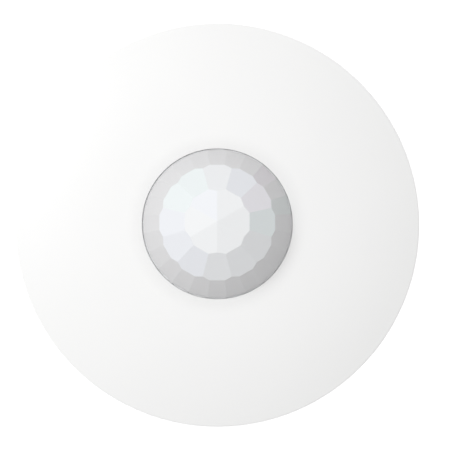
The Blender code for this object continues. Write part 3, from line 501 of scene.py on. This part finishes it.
def milky_lens():
    """Thin milky polyethylene; each facet has its own tone, with painted shade that darkens the steeper
    rings, and faint grooves round its middle.
    """
    look = Look("milky_lens", (0.8, 0.8, 0.8), 0.55)
    look.set("Specular IOR Level", 0.3)
    tone = look.node("ShaderNodeAttribute", attribute_name="facet_tone_and_shade")
    look.link(tone.outputs["Color"], look.shader.inputs["Base Color"])
    local = look.node("ShaderNodeAttribute", attribute_name="facet_place")
    length = look.node("ShaderNodeVectorMath", operation="LENGTH")
    look.link(local.outputs["Vector"], length.inputs[0])
    turns = look.node("ShaderNodeMath", operation="MULTIPLY")
    turns.inputs[1].default_value = math.tau / GROOVE_PITCH
    look.link(length.outputs["Value"], turns.inputs[0])
    wave = look.node("ShaderNodeMath", operation="SINE")
    look.link(turns.outputs["Value"], wave.inputs[0])
    look.bump(wave.outputs["Value"], 0.002 * MM, 0.25)
    return look.material


def pale_grey():
    """Inner mouldings in plain pale grey plastic."""
    look = Look("pale_grey_plastic", (0.78, 0.78, 0.77), 0.5)
    look.round_corners(0.35 * MM)
    look.mottle((0.76, 0.76, 0.752), (0.80, 0.80, 0.79), 60.0)
    look.vary_roughness(0.45, 0.6, 700.0)
    look.bump(look.noise(1800.0, 2.0), 0.012 * MM, 0.5)
    return look.material


def solder_mask():
    """Green lacquer over glass cloth."""
    look = Look("solder_mask", (0.012, 0.13, 0.045), 0.28)
    look.mottle((0.010, 0.115, 0.038), (0.018, 0.16, 0.058), 120.0)
    weave = look.node("ShaderNodeTexBrick", offset=0.0)
    weave.inputs["Scale"].default_value = 900.0
    look.link(look.place, weave.inputs["Vector"])
    look.bump(weave.outputs["Fac"], 0.006 * MM, 0.35)
    look.vary_roughness(0.22, 0.36, 300.0)
    look.set("Coat Weight", 0.3)
    look.set("Coat Roughness", 0.15)
    return look.material


def covered_copper():
    """Copper track under the green lacquer."""
    look = Look("covered_copper", (0.03, 0.27, 0.09), 0.3)
    look.mottle((0.026, 0.24, 0.08), (0.04, 0.31, 0.11), 200.0)
    look.vary_roughness(0.24, 0.38, 400.0)
    return look.material


def solder():
    """Bright tin solder, slightly uneven."""
    look = Look("solder", (0.72, 0.73, 0.74), 0.28, 1.0)
    look.mottle((0.66, 0.67, 0.69), (0.78, 0.79, 0.80), 900.0)
    look.vary_roughness(0.2, 0.42, 1500.0)
    look.bump(look.noise(1400.0), 0.02 * MM, 0.4)
    return look.material


def zinc():
    """Zinc-plated steel with fine scratches."""
    look = Look("zinc_steel", (0.66, 0.67, 0.69), 0.32, 1.0)
    look.round_corners(0.1 * MM)
    look.mottle((0.60, 0.61, 0.63), (0.72, 0.73, 0.75), 500.0)
    look.vary_roughness(0.22, 0.45, 900.0, (1.0, 8.0, 1.0))
    look.bump(look.noise(2500.0, 2.0, (1.0, 10.0, 1.0)), 0.006 * MM, 0.4)
    return look.material


def nickel():
    """Drawn nickel-plated can."""
    look = Look("nickel", (0.70, 0.68, 0.64), 0.24, 1.0)
    look.round_corners(0.12 * MM)
    look.mottle((0.66, 0.64, 0.60), (0.74, 0.72, 0.68), 700.0)
    look.vary_roughness(0.18, 0.32, 1200.0, (1.0, 1.0, 12.0))
    look.bump(look.noise(1800.0, 2.0, (1.0, 1.0, 14.0)), 0.004 * MM, 0.4)
    return look.material


def brass():
    """Stamped brass."""
    look = Look("brass", (0.74, 0.56, 0.26), 0.34, 1.0)
    look.mottle((0.68, 0.50, 0.22), (0.79, 0.61, 0.30), 800.0)
    look.vary_roughness(0.26, 0.46, 1500.0)
    return look.material


def silicon_filter():
    """Dark mirror-like filter window."""
    look = Look("silicon_filter", (0.035, 0.04, 0.055), 0.1)
    look.mottle((0.03, 0.035, 0.05), (0.06, 0.055, 0.075), 250.0)
    look.set("Coat Weight", 1.0)
    look.set("Coat Roughness", 0.05)
    return look.material


def foam():
    """Open-cell foam."""
    look = Look("dark_foam", (0.045, 0.045, 0.05), 0.95)
    look.mottle((0.03, 0.03, 0.034), (0.07, 0.07, 0.075), 1500.0)
    cells = look.node("ShaderNodeTexVoronoi")
    cells.inputs["Scale"].default_value = 1900.0
    look.link(look.place, cells.inputs["Vector"])
    look.bump(cells.outputs["Distance"], 0.12 * MM, 0.9)
    return look.material


def rubber():
    """Soft black rubber with a bloom."""
    look = Look("black_rubber", (0.03, 0.03, 0.03), 0.75)
    look.round_corners(0.25 * MM)
    look.mottle((0.022, 0.022, 0.022), (0.045, 0.045, 0.044), 350.0)
    look.vary_roughness(0.62, 0.85, 500.0)
    look.bump(look.noise(1200.0), 0.02 * MM, 0.4)
    return look.material


def plastic(name, dark, light, roughness):
    """Small coloured moulding."""
    look = Look(name, light, roughness)
    look.round_corners(0.15 * MM)
    look.mottle(dark, light, 300.0)
    look.vary_roughness(roughness - 0.06, roughness + 0.08, 900.0)
    look.bump(look.noise(2200.0, 2.0), 0.008 * MM, 0.5)
    return look.material


def red_resin():
    """Tinted clear resin of the indicator lamp."""
    look = Look("red_resin", (0.62, 0.02, 0.015), 0.12)
    look.mottle((0.52, 0.015, 0.012), (0.70, 0.035, 0.02), 400.0)
    look.set("Coat Weight", 0.8)
    look.set("Coat Roughness", 0.08)
    look.set("Subsurface Weight", 0.3)
    look.set("Subsurface Scale", 0.6 * MM)
    return look.material


def white_ink():
    """Printed outline on the board."""
    look = Look("white_ink", (0.82, 0.83, 0.80), 0.6)
    look.mottle((0.74, 0.76, 0.72), (0.86, 0.87, 0.84), 900.0)
    return look.material


def floor_paper():
    """Bright white paper that glows a little, as on a light table."""
    look = Look("floor_paper", (FLOOR_WHITE,) * 3, 0.9)
    look.mottle((FLOOR_WHITE * 0.995,) * 3, (FLOOR_WHITE * 1.005,) * 3, 8.0)
    look.set("Emission Color", (1.0, 1.0, 1.0, 1.0))
    look.set("Emission Strength", FLOOR_GLOW)
    return look.material


# ---------------------------------------------------------------- cover


def arc_round(before, corner, after, radius, steps=5):
    """Points that round the corner of a profile."""
    corner = Vector(corner)
    to_before = (Vector(before) - corner).normalized()
    to_after = (Vector(after) - corner).normalized()
    half = to_before.angle(to_after) / 2
    reach = radius / math.tan(half)
    middle = corner + (to_before + to_after).normalized() * (radius / math.sin(half))
    start = corner + to_before * reach - middle
    end = corner + to_after * reach - middle
    spots = []
    for index in range(steps + 1):
        spoke = start.lerp(end, index / steps).normalized() * radius
        spots.append(tuple(middle + spoke))
    return spots


def crown_point(radius, front, inset):
    """Point of the front's arc at a radius."""
    reach = CROWN_RADIUS - inset
    return radius, front - CROWN_RADIUS + math.sqrt(reach**2 - (radius - CROWN_FLAT) ** 2)


def crown(outer, front, inset):
    """Points of the front's arc from an outer radius in to where it runs flat."""
    span = outer - CROWN_FLAT
    steps = range(CROWN_STEPS + 1)
    return [crown_point(outer - span * index / CROWN_STEPS, front, inset) for index in steps]


def cover_profile(radius, foot, front):
    """Half section of the shell, with its edges rounded."""
    underside = front - COVER_WALL
    inner = radius - COVER_SIDE_WALL
    rim_corner = crown_point(radius, front, 0.0)
    crown_start = radius - CROWN_INSET
    profile = arc_round((inner, foot), (radius, foot), rim_corner, COVER_FOOT_ROUND)
    profile += arc_round((radius, foot), rim_corner, crown_point(crown_start, front, 0.0), COVER_EDGE_ROUND)
    profile += crown(crown_start, front, 0.0)
    lip = (COVER_OPENING, underside)
    profile += arc_round((CROWN_FLAT, front), (COVER_OPENING, front), lip, COVER_OPENING_ROUND)
    profile += [lip]
    profile += reversed(crown(inner, front, COVER_WALL))
    profile += [(inner, foot)]
    return profile


def make_cover(look):
    """Domed shell with rounded edges, screw bosses, tamper post and pry notch."""
    low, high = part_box("front_cover")
    radius, foot, front = high.x, low.z, high.z
    shape = lathe(cover_profile(radius, foot, front), COVER_STEPS)
    cover = add_piece("cover_shell", shape, look, "cover", "white_plastic")
    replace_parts(cover, "front_cover")

    boss_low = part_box("lens_retainer")[1].z + FIT_GAP
    bosses, pilots = [], []
    for name in numbered("retainer_screw", 3):
        screw = middle_of(name).xy
        bosses.append(prism(disc_outline(BOSS_RADIUS, screw), boss_low, front - COVER_WALL / 2))
        pilots.append(prism(disc_outline(PILOT_RADIUS, screw), boss_low - MM, front - MM))
    plunger = middle_of("tamper_plunger").xy
    post_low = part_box("tamper_plunger")[1].z + FIT_GAP
    post_top = crown_point(plunger.length, front, COVER_WALL / 2)[1]
    bosses.append(prism(disc_outline(TAMPER_POST_RADIUS, plunger), post_low, post_top))
    carve(cover, "UNION", merged(bosses))
    notch = round_edges(block(PRY_NOTCH, (0.0, -radius), foot - PRY_NOTCH_DROP), PRY_NOTCH_ROUND)
    carve(cover, "DIFFERENCE", merged(pilots + [notch]))


# ---------------------------------------------------------------- lens


def facet_planes(tip):
    """Yield a point and a normal for every facet, worked outwards from the tip."""
    height, last_radius, last_tilt = tip, 0.0, 0.0
    for count, tilt, radius in LENS_RINGS:
        height -= (radius - last_radius) * math.tan(math.radians(last_tilt))
        lean = math.radians(tilt)
        for index in range(count):
            angle = 360.0 * index / count
            x, y = polar(radius, angle)
            yield Vector((x, y, height)), Vector((*polar(math.sin(lean), angle), math.cos(lean)))
        last_radius, last_tilt = radius, tilt


def many_sided_outline(reach):
    """Outline with one straight side under each outermost facet, in many short steps."""
    side = 360.0 / LENS_RINGS[-1][0]
    spots = []
    for index in range(LENS_STEPS):
        angle = 360.0 * index / LENS_STEPS
        off_middle = (angle + side / 2) % side - side / 2
        spots.append(polar(reach / math.cos(math.radians(off_middle)), angle))
    return spots


def faceted_dome(inset, low, tip):
    """Many-sided bar cut by every facet plane moved inwards by inset, open at the bottom."""
    dome = prism(many_sided_outline(LENS_REACH - inset), low, tip + MM)
    for point, normal in facet_planes(tip):
        cut = bmesh.ops.bisect_plane(
            dome,
            geom=dome.verts[:] + dome.edges[:] + dome.faces[:],
            dist=MERGE,
            plane_co=point - inset * normal,
            plane_no=normal,
            clear_outer=True,
        )
        rim = [item for item in cut["geom_cut"] if isinstance(item, bmesh.types.BMEdge)]
        bmesh.ops.contextual_create(dome, geom=rim)
    bmesh.ops.remove_doubles(dome, verts=dome.verts[:], dist=MERGE)
    bmesh.ops.recalc_face_normals(dome, faces=dome.faces[:])
    floor = [face for face in dome.faces if face.normal.z < -0.9]
    bmesh.ops.delete(dome, geom=floor, context="FACES_ONLY")
    return dome


def open_edges(shape):
    """Edges with one face."""
    return [edge for edge in shape.edges if edge.is_boundary]


def step_out(shape, radius, height):
    """Carry an open rim to a round one at a new radius and height."""
    grown = bmesh.ops.extrude_edge_only(shape, edges=open_edges(shape))
    for vert in (item for item in grown["geom"] if isinstance(item, bmesh.types.BMVert)):
        flat = vert.co.xy.normalized() * radius
        vert.co = Vector((flat.x, flat.y, height))


def facet_tones_and_shade():
    """Colour of every facet: its ring's white, darker on the steeper rings as painted shade, and on some a
    faint cast.
    """
    draw = random.Random(7)
    tones = []
    for ring, ((count, _, _), white) in enumerate(zip(LENS_RINGS, LENS_WHITES_PAINTED_SHADE)):
        for index in range(count):
            cast = (1.0, 1.0, 1.0)
            if (ring, index) in CYAN_FACETS:
                cast = CYAN_CAST
            elif (ring, index) in BLUE_FACETS:
                cast = BLUE_CAST
            elif (ring, index) in LILAC_FACETS:
                cast = LILAC_CAST
            level = draw.uniform(0.995, 1.005)
            tones.append((*(level * part * tint for part, tint in zip(white, cast)), 1.0))
    return tones


def note_facets(shape, tip):
    """Give each face its facet's tone, which holds painted shade, and its place on the facet for the
    grooves.
    """
    tone_layer = shape.loops.layers.float_color.new("facet_tone_and_shade")
    place_layer = shape.loops.layers.float_vector.new("facet_place")
    planes = [(normal, tone) for (_, normal), tone in zip(facet_planes(tip), facet_tones_and_shade())]
    for face in shape.faces:
        normal, tone = max(planes, key=lambda plane: plane[0].dot(face.normal))
        centre = face.calc_center_median()
        for loop in face.loops:
            loop[tone_layer] = tone
            loop[place_layer] = loop.vert.co - centre


def make_lens(look):
    """Faceted shell with a small shoulder, an inner skin and a flange."""
    low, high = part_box("fresnel_lens")
    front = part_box("front_cover")[1].z
    flange_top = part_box("lens_retainer")[1].z + FIT_GAP + LENS_FLANGE_THICKNESS
    shoulder = front - LENS_SHOULDER_DROP
    shell = faceted_dome(0.0, shoulder, high.z)
    step_out(shell, LENS_SHOULDER, shoulder)
    step_out(shell, LENS_SHOULDER, flange_top)
    step_out(shell, high.x, flange_top)
    step_out(shell, high.x, low.z)
    inner = faceted_dome(LENS_WALL, low.z, high.z)
    bmesh.ops.reverse_faces(inner, faces=inner.faces[:])
    shell = merged([shell, inner])
    bmesh.ops.bridge_loops(shell, edges=open_edges(shell))
    note_facets(shell, high.z)
    lens = add_piece("lens_dome", shell, look, "cover", "lens_plastic", FACET_SHARP_ANGLE)
    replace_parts(lens, "fresnel_lens")


# ---------------------------------------------------------------- parts on the board


def gull_wing(x, y, side, shoulder, seat):
    """One bent lead of a chip whose long side runs along X."""
    section = [
        (y, shoulder),
        (y + LEAD_KNEE, shoulder),
        (y + LEAD_KNEE, seat + LEAD_THICKNESS),
        (y + LEAD_TIP, seat + LEAD_THICKNESS),
        (y + LEAD_TIP, seat),
        (y + LEAD_KNEE - LEAD_THICKNESS, seat),
        (y + LEAD_KNEE - LEAD_THICKNESS, shoulder - LEAD_THICKNESS),
        (y, shoulder - LEAD_THICKNESS),
    ]
    shape = bmesh.new()
    near = x - LEAD_WIDTH / 2
    face = shape.faces.new([shape.verts.new((near, side * reach, height)) for reach, height in section])
    raised = bmesh.ops.extrude_face_region(shape, geom=[face])
    moved = [item for item in raised["geom"] if isinstance(item, bmesh.types.BMVert)]
    bmesh.ops.translate(shape, verts=moved, vec=(LEAD_WIDTH, 0.0, 0.0))
    bmesh.ops.recalc_face_normals(shape, faces=shape.faces[:])
    return shape


def spread_top(shape, above, distance):
    """Move the corners above a height outwards, or inwards where the distance is negative."""
    for vert in shape.verts:
        if vert.co.z > above:
            vert.co.x += distance * math.copysign(1.0, vert.co.x)
            vert.co.y += distance * math.copysign(1.0, vert.co.y)


def put_on_board(shape, turn, centre):
    """Turn a shape that was drawn at the origin, and carry it to its place."""
    turn_about(shape, turn, (0.0, 0.0))
    bmesh.ops.translate(shape, verts=shape.verts[:], vec=(*centre, 0.0))
    return shape


def make_chip(node, size, leads, turn, body_look, lead_look):
    """Chip body with a tapered waist and a pin-one dimple, and its rows of leads."""
    length, width, height = size
    centre = middle_of(node).xy
    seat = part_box(node)[0].z
    body_low, waist, top = seat + CHIP_STAND, seat + height / 2, seat + height
    lower = block((length - CHIP_TAPER, width - CHIP_TAPER, waist - body_low), (0.0, 0.0), body_low)
    spread_top(lower, (waist + body_low) / 2, CHIP_TAPER / 2)
    upper = block((length, width, top - waist), (0.0, 0.0), waist)
    spread_top(upper, (waist + top) / 2, -CHIP_TAPER)
    shape = put_on_board(round_edges(merged([lower, upper]), CHIP_ROUND), turn, centre)
    body = add_piece(f"{node}_body", shape, body_look, "head", "black_plastic")
    inset = Vector((length / 2 - DIMPLE_INSET, width / 2 - DIMPLE_INSET))
    inset.rotate(Matrix.Rotation(math.radians(turn), 2))
    outline = disc_outline(DIMPLE_RADIUS, centre - inset, DIMPLE_STEPS)
    carve(body, "DIFFERENCE", prism(outline, top - DIMPLE_DEPTH, top + MM))

    rows = []
    for side in (1, -1):
        for index in range(leads):
            x = (index - (leads - 1) / 2) * LEAD_PITCH
            rows.append(gull_wing(x, width / 2 - LEAD_ROOT, side, waist, seat))
    shape = put_on_board(merged(rows), turn, centre)
    legs = add_piece(f"{node}_leads", shape, lead_look, "head", "sensor_metal")
    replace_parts(body, node)
    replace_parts(legs, node)


def sweep_tube(points, radius):
    """Round bar along a run of points, with flat ends."""
    shape = bmesh.new()
    rings = []
    for index, point in enumerate(points):
        ahead = points[min(index + 1, len(points) - 1)]
        behind = points[max(index - 1, 0)]
        along = (ahead - behind).normalized()
        across = along.cross(Vector((0.0, 0.0, 1.0)))
        if across.length < NEARLY_UPRIGHT:
            across = along.cross(Vector((0.0, 1.0, 0.0)))
        across.normalize()
        upward = across.cross(along)
        ring = []
        for side in range(WIRE_SIDES):
            reach_x, reach_y = polar(radius, 360.0 * side / WIRE_SIDES)
            ring.append(shape.verts.new(point + across * reach_x + upward * reach_y))
        rings.append(ring)
    for here, there in zip(rings, rings[1:]):
        for side in range(WIRE_SIDES):
            after = (side + 1) % WIRE_SIDES
            shape.faces.new((here[side], here[after], there[after], there[side]))
    shape.faces.new(rings[0])
    shape.faces.new(rings[-1])
    bmesh.ops.recalc_face_normals(shape, faces=shape.faces[:])
    return shape


def make_spring(look):
    """Fine coil under the tamper plunger."""
    low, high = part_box("tamper_spring")
    middle = (low + high) / 2
    coil_radius = (high.x - low.x) / 2 - SPRING_WIRE
    climb = high.z - low.z - 2 * SPRING_WIRE
    count = SPRING_TURNS * SPRING_STEPS
    points = []
    for index in range(count + 1):
        x, y = polar(coil_radius, 360.0 * index / SPRING_STEPS)
        height = low.z + SPRING_WIRE + climb * index / count
        points.append(Vector((middle.x + x, middle.y + y, height)))
    spring = add_piece("tamper_coil", sweep_tube(points, SPRING_WIRE), look, "head", "zinc_steel")
    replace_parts(spring, "tamper_spring")
    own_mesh(spring)


def diode_barrel_profile():
    """Half section of the barrel, with small corners, about its own axis."""
    rim, end = DIODE_RADIUS - DIODE_CORNER, DIODE_HALF - DIODE_CORNER
    lower = [(0.0, -DIODE_HALF), (rim, -DIODE_HALF), (DIODE_RADIUS, -end)]
    return lower + [(radius, -height) for radius, height in reversed(lower)]


def diode_band_profile():
    """Half section of the pale ring, a little proud of the barrel."""
    inner, outer = DIODE_RADIUS - DIODE_BAND_DEPTH, DIODE_RADIUS + DIODE_BAND_PROUD
    near, far = (DIODE_HALF - inset for inset in DIODE_BAND_INSETS)
    return [(inner, near), (outer, near), (outer, far), (inner, far)]


def make_diode(body_look, band_look, lead_look):
    """Moulded barrel with a pale cathode band on two bent wires."""
    low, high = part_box("supply_diode")
    middle = (low + high) / 2
    height = low.z + DIODE_AXIS
    lay = Matrix.Rotation(math.radians(90.0), 3, "X")
    for name, section, look, slot_name in (
        ("supply_diode_barrel", diode_barrel_profile(), body_look, "black_plastic"),
        ("supply_diode_band", diode_band_profile(), band_look, "white_nylon"),
    ):
        shape = lathe(section, SMALL_STEPS)
        bmesh.ops.rotate(shape, verts=shape.verts[:], cent=(0, 0, 0), matrix=lay)
        bmesh.ops.translate(shape, verts=shape.verts[:], vec=(middle.x, middle.y, height))
        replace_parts(add_piece(name, shape, look, "head", slot_name), "supply_diode")
    near = middle.y - (high.y - low.y) / 2 + DIODE_WIRE
    route = [Vector((middle.x, near, low.z))]
    for index in range(BEND_STEPS + 1):
        across, up = polar(DIODE_BEND, 90.0 - 90.0 * index / BEND_STEPS)
        route.append(Vector((middle.x, near + DIODE_BEND - up, height - DIODE_BEND + across)))
    route += [Vector((point.x, 2 * middle.y - point.y, point.z)) for point in reversed(route)]
    leads = add_piece("supply_diode_leads", sweep_tube(route, DIODE_WIRE), lead_look, "head", "sensor_metal")
    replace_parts(leads, "supply_diode")


def make_capacitor_tops(look):
    """Bare aluminium end with its pressed cross on each can."""
    for name in numbered("capacitor", 2):
        low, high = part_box(name)
        middle = ((low + high) / 2).xy
        radius = (high.x - low.x) / 2 - CAN_SLEEVE_EDGE
        foot, top = high.z - CAN_TOP_SINK, high.z + CAN_TOP_PROUD
        profile = [(0.0, foot), (radius, foot), (radius, high.z), (radius - CAN_TOP_CORNER, top), (0.0, top)]
        cap = add_piece(f"{name}_top", lathe(profile, SMALL_STEPS, middle), look, "head", "sensor_metal")
        for turn in (45.0, 135.0):
            groove = block((1.5 * radius, CAN_GROOVE_WIDTH, MM), middle, top - CAN_GROOVE_DEPTH)
            carve(cap, "DIFFERENCE", turn_about(groove, turn, middle))


# ---------------------------------------------------------------- the board's face


def track(first, last, low, high):
    """Copper run from one place to another: diagonal first, then straight, with a land at each end."""
    gap = last - first
    step = min(abs(gap.x), abs(gap.y))
    knee = first + Vector((math.copysign(step, gap.x), math.copysign(step, gap.y)))
    runs = []
    for start, end in ((first, knee), (knee, last)):
        along = end - start
        if along.length > TRACK_WIDTH:
            side = Vector((-along.y, along.x)).normalized() * TRACK_WIDTH / 2
            reach = along.normalized() * TRACK_WIDTH * 0.2
            corners = (start - reach - side, start - reach + side, end + reach + side, end + reach - side)
            runs.append(prism([tuple(corner) for corner in corners], low, high))
    for spot in (first, last):
        runs.append(prism(disc_outline(TRACK_WIDTH * 0.9, spot, LAND_STEPS), low, high + LAND_PROUD))
    return runs


def make_tracks(places, top, look):
    """Copper runs between the parts, under the lacquer."""
    runs = []
    for start, end, shift in TRACK_ROUTES:
        first = places[start] + Vector(shift) * MM
        last = places[end] + Vector(shift) * TRACK_END_SHARE * MM
        runs += track(first, last, top + TRACK_LOW, top + TRACK_HIGH)
    add_piece("board_tracks", merged(runs), look, "head", "circuit_board")


def flat_ring(inner, outer, low, high, centre):
    """Thin washer that lies flat."""
    return lathe([(inner, low), (outer, low), (outer, high), (inner, high)], SMALL_STEPS, centre)


def make_screw_pads(top, look):
    """Tinned ring under the head of each board screw."""
    inner, outer = SCREW_PAD_RADII
    centres = [middle_of(name).xy for name in numbered("board_screw", 3)]
    rings = [flat_ring(inner, outer, top, top + PAD_THICKNESS, centre) for centre in centres]
    add_piece("board_screw_pads", merged(rings), look, "head", "sensor_metal")


def chip_places(places):
    """Every other spot of a grid that is clear of the larger parts, the holes and the edge."""
    obstacles = [(place, CLEAR_OF.get(node, CLEAR_OF_PART)) for node, place in places.items()]
    obstacles.append((middle_of("cable_grommet").xy, CLEAR_OF_CABLE))
    obstacles += [(middle_of(name).xy, CLEAR_OF_SCREW) for name in numbered("board_screw", 3)]
    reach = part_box("circuit_board")[1].x - CLEAR_OF_EDGE
    found = []
    for column in range(-GRID_REACH, GRID_REACH + 1):
        for row in range(-GRID_REACH, GRID_REACH + 1):
            spot = Vector((column * GRID_PITCH, row * GRID_PITCH))
            if spot.length <= reach and all((spot - place).length > clear for place, clear in obstacles):
                found.append(spot)
    return found[::2]


def chip_part_ends(place, turn, top):
    """Metal end caps of a small surface part, and the solder lands under them."""
    length, width, height = SMALL_PART
    ends = []
    for side in (1, -1):
        cap_place = (place.x + side * length * 0.4, place.y)
        cap = block((length * 0.2, width, height), cap_place, top + SMALL_PART_STAND - END_CAP_DROP)
        ends.append(turn_about(round_edges(cap, END_CAP_ROUND), turn, place))
        land_place = (place.x + side * length * 0.48, place.y)
        land = block((length * 0.34, width * 1.12, PAD_THICKNESS), land_place, top)
        ends.append(turn_about(land, turn, place))
    return ends


def make_chip_parts(places, top, dark, tan, tin):
    """Rows of small resistors and capacitors, some along X and some along Y."""
    length, width, height = SMALL_PART
    draw = random.Random(21)
    resistors, capacitors, ends = [], [], []
    for place in chip_places(places):
        turn = draw.choice((0.0, 90.0))
        body = block((length * 0.7, width * 0.96, height), place, top + SMALL_PART_STAND)
        kind = resistors if draw.random() < 0.5 else capacitors
        kind.append(turn_about(body, turn, place))
        ends += chip_part_ends(place, turn, top)
    add_piece("chip_resistors", merged(resistors), dark, "head", "black_plastic")
    add_piece("chip_capacitors", merged(capacitors), tan, "head", "grey_plastic")
    add_piece("chip_part_ends", merged(ends), tin, "head", "sensor_metal")


def square_print(node, top):
    """Thin printed rectangle around a part."""
    low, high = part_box(node)
    centre = ((low + high) / 2).xy
    span = (high - low).xy + 2 * Vector((SQUARE_PRINT_MARGIN, SQUARE_PRINT_MARGIN))
    bars = []
    for side in (1, -1):
        along_x = (centre.x, centre.y + side * span.y / 2)
        along_y = (centre.x + side * span.x / 2, centre.y)
        bars.append(block((span.x, INK_WIDTH, INK_THICKNESS), along_x, top))
        bars.append(block((INK_WIDTH, span.y - INK_WIDTH, INK_THICKNESS), along_y, top))
    return merged(bars)


def make_print(places, top, look):
    """White outlines round the boxes, the cans, the lamp and the sensor's seal."""
    prints = [square_print(node, top) for node in SQUARE_PRINTS]
    for node in ROUND_PRINTS:
        low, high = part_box(node)
        reach = (high.x - low.x) / 2 + ROUND_PRINT_MARGIN
        prints.append(flat_ring(reach, reach + INK_WIDTH, top, top + INK_THICKNESS, places[node]))
    add_piece("board_print", merged(prints), look, "head", "white_nylon")


# ---------------------------------------------------------------- carried-over CAD nodes


def paint(look, *nodes):
    """Give CAD nodes their finished material."""
    for node in nodes:
        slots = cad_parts[node].data.materials
        slots.clear()
        slots.append(look)


def paint_nodes(cover_look, grey, steel, shiny, black):
    """Materials of every CAD node that stays."""
    blue = plastic("blue_plastic", (0.02, 0.085, 0.36), (0.035, 0.12, 0.46), 0.4)
    nylon = plastic("white_nylon", (0.80, 0.80, 0.77), (0.88, 0.88, 0.85), 0.42)
    green = plastic("terminal_green", (0.03, 0.23, 0.09), (0.05, 0.31, 0.13), 0.42)
    sleeve = plastic("capacitor_sleeve", (0.02, 0.025, 0.06), (0.04, 0.05, 0.10), 0.3)
    plate_look, _ = moulded_white("plate_white")
    paint(plate_look.material, "ceiling_plate")
    paint(cover_look, "front_cover")
    paint(grey, "sensor_tray", "lens_retainer")
    paint(rubber(), "cable_grommet")
    paint(solder_mask(), "circuit_board")
    paint(steel, *numbered("board_screw", 3), *numbered("retainer_screw", 3))
    paint(steel, *numbered("terminal_screw", 6))
    paint(shiny, "sensor_header", "sensor_can", "timing_crystal")
    paint(silicon_filter(), "sensor_filter")
    paint(foam(), "sensor_seal")
    paint(brass(), *numbered("terminal_clamp", 6))
    paint(green, "terminal_block")
    paint(black, "alarm_relay", "tamper_case")
    paint(blue, "range_trimmer_case", "mode_switch_case")
    paint(nylon, "range_dial", "tamper_plunger", *numbered("mode_slider", 3))
    paint(red_resin(), "indicator_lamp")
    paint(sleeve, *numbered("capacitor", 2))


# ---------------------------------------------------------------- floor, light and camera


def make_floor():
    """Wide plain floor at the height the detector rests on."""
    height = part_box("ceiling_plate")[0].z - FLOOR_GAP
    corners = [(x * FLOOR_HALF_WIDTH, y * FLOOR_HALF_WIDTH) for x, y in SQUARE_CORNERS]
    shape = bmesh.new()
    shape.faces.new([shape.verts.new((x, y, height)) for x, y in corners])
    mesh = bpy.data.meshes.new("floor")
    shape.to_mesh(mesh)
    shape.free()
    floor = bpy.data.objects.new("floor", mesh)
    bpy.context.scene.collection.objects.link(floor)
    mesh.materials.append(floor_paper())
    floor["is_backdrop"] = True


def make_surround():
    """White surround, bright overhead and on the lamp's side, and dark at the horizon."""
    world = bpy.data.worlds.new("studio")
    world.use_nodes = True
    nodes, links = world.node_tree.nodes, world.node_tree.links
    background = nodes["Background"]
    background.inputs["Color"].default_value = (1.0, 1.0, 1.0, 1.0)
    direction = nodes.new("ShaderNodeTexCoord").outputs["Generated"]
    total = nodes.new("ShaderNodeMath")
    to_lamp = (*polar(1.0, KEY_AZIMUTH), 0.0)
    for slot, along, dark_end, most in ((0, (0.0, 0.0, 1.0), 0.0, SKY_TOP), (1, to_lamp, -1.0, SKY_SIDE)):
        reach = nodes.new("ShaderNodeVectorMath")
        reach.operation = "DOT_PRODUCT"
        reach.inputs[1].default_value = along
        links.new(direction, reach.inputs[0])
        spread = nodes.new("ShaderNodeMapRange")
        spread.inputs["From Min"].default_value = dark_end
        spread.inputs["To Max"].default_value = most
        links.new(reach.outputs["Value"], spread.inputs["Value"])
        links.new(spread.outputs["Result"], total.inputs[slot])
    links.new(total.outputs["Value"], background.inputs["Strength"])
    bpy.context.scene.world = world


def make_lamp():
    """One large soft lamp from the upper left."""
    lamp = bpy.data.lights.new("key", "AREA")
    lamp.shape = "DISK"
    lamp.size = KEY_SIZE
    lamp.energy = KEY_POWER
    key = bpy.data.objects.new("key", lamp)
    aside = KEY_DISTANCE * math.sin(KEY_FROM_VERTICAL)
    key.location = (*polar(aside, KEY_AZIMUTH), KEY_DISTANCE * math.cos(KEY_FROM_VERTICAL))
    key.rotation_euler = (-key.location).to_track_quat("-Z", "Y").to_euler()
    bpy.context.scene.collection.objects.link(key)


def make_camera():
    """Long lens, almost square on to the front."""
    data = bpy.data.cameras.new("camera")
    data.lens = data.sensor_width * VIEW_DISTANCE / VIEW_WIDTH
    data.clip_start = VIEW_CLIP_START
    camera = bpy.data.objects.new("camera", data)
    target = Vector((*VIEW_CENTRE, VIEW_HEIGHT_Z))
    backward = Vector((0.0, -math.sin(VIEW_TILT), math.cos(VIEW_TILT)))
    camera.location = target + backward * VIEW_DISTANCE
    camera.rotation_euler = (VIEW_TILT, 0.0, 0.0)
    bpy.context.scene.collection.objects.link(camera)
    bpy.context.scene.camera = camera
    bpy.context.scene.view_settings.view_transform = "Standard"


# ---------------------------------------------------------------- the whole scene


def main():
    cover_look, grey, steel, shiny = cover_white_painted_shade(), pale_grey(), zinc(), nickel()
    black = plastic("black_plastic", (0.012, 0.012, 0.013), (0.024, 0.024, 0.026), 0.45)
    tan = plastic("tan_ceramic", (0.45, 0.33, 0.20), (0.55, 0.42, 0.27), 0.5)
    ink, tin = white_ink(), solder()
    make_camera()
    make_surround()
    make_lamp()
    make_floor()
    paint_nodes(cover_look, grey, steel, shiny, black)
    make_cover(cover_look)
    make_lens(milky_lens())
    for chip in CHIPS:
        make_chip(*chip, black, tin)
    make_spring(steel)
    make_diode(black, ink, tin)
    make_capacitor_tops(shiny)
    board_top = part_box("circuit_board")[1].z
    places = {node: middle_of(node).xy for node in BOARD_PARTS}
    make_tracks(places, board_top, covered_copper())
    make_screw_pads(board_top, tin)
    make_chip_parts(places, board_top, black, tan, tin)
    make_print(places, board_top, ink)


main()
boxes = (cad_bounds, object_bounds())
[[list(corner) for corner in box] for box in boxes]
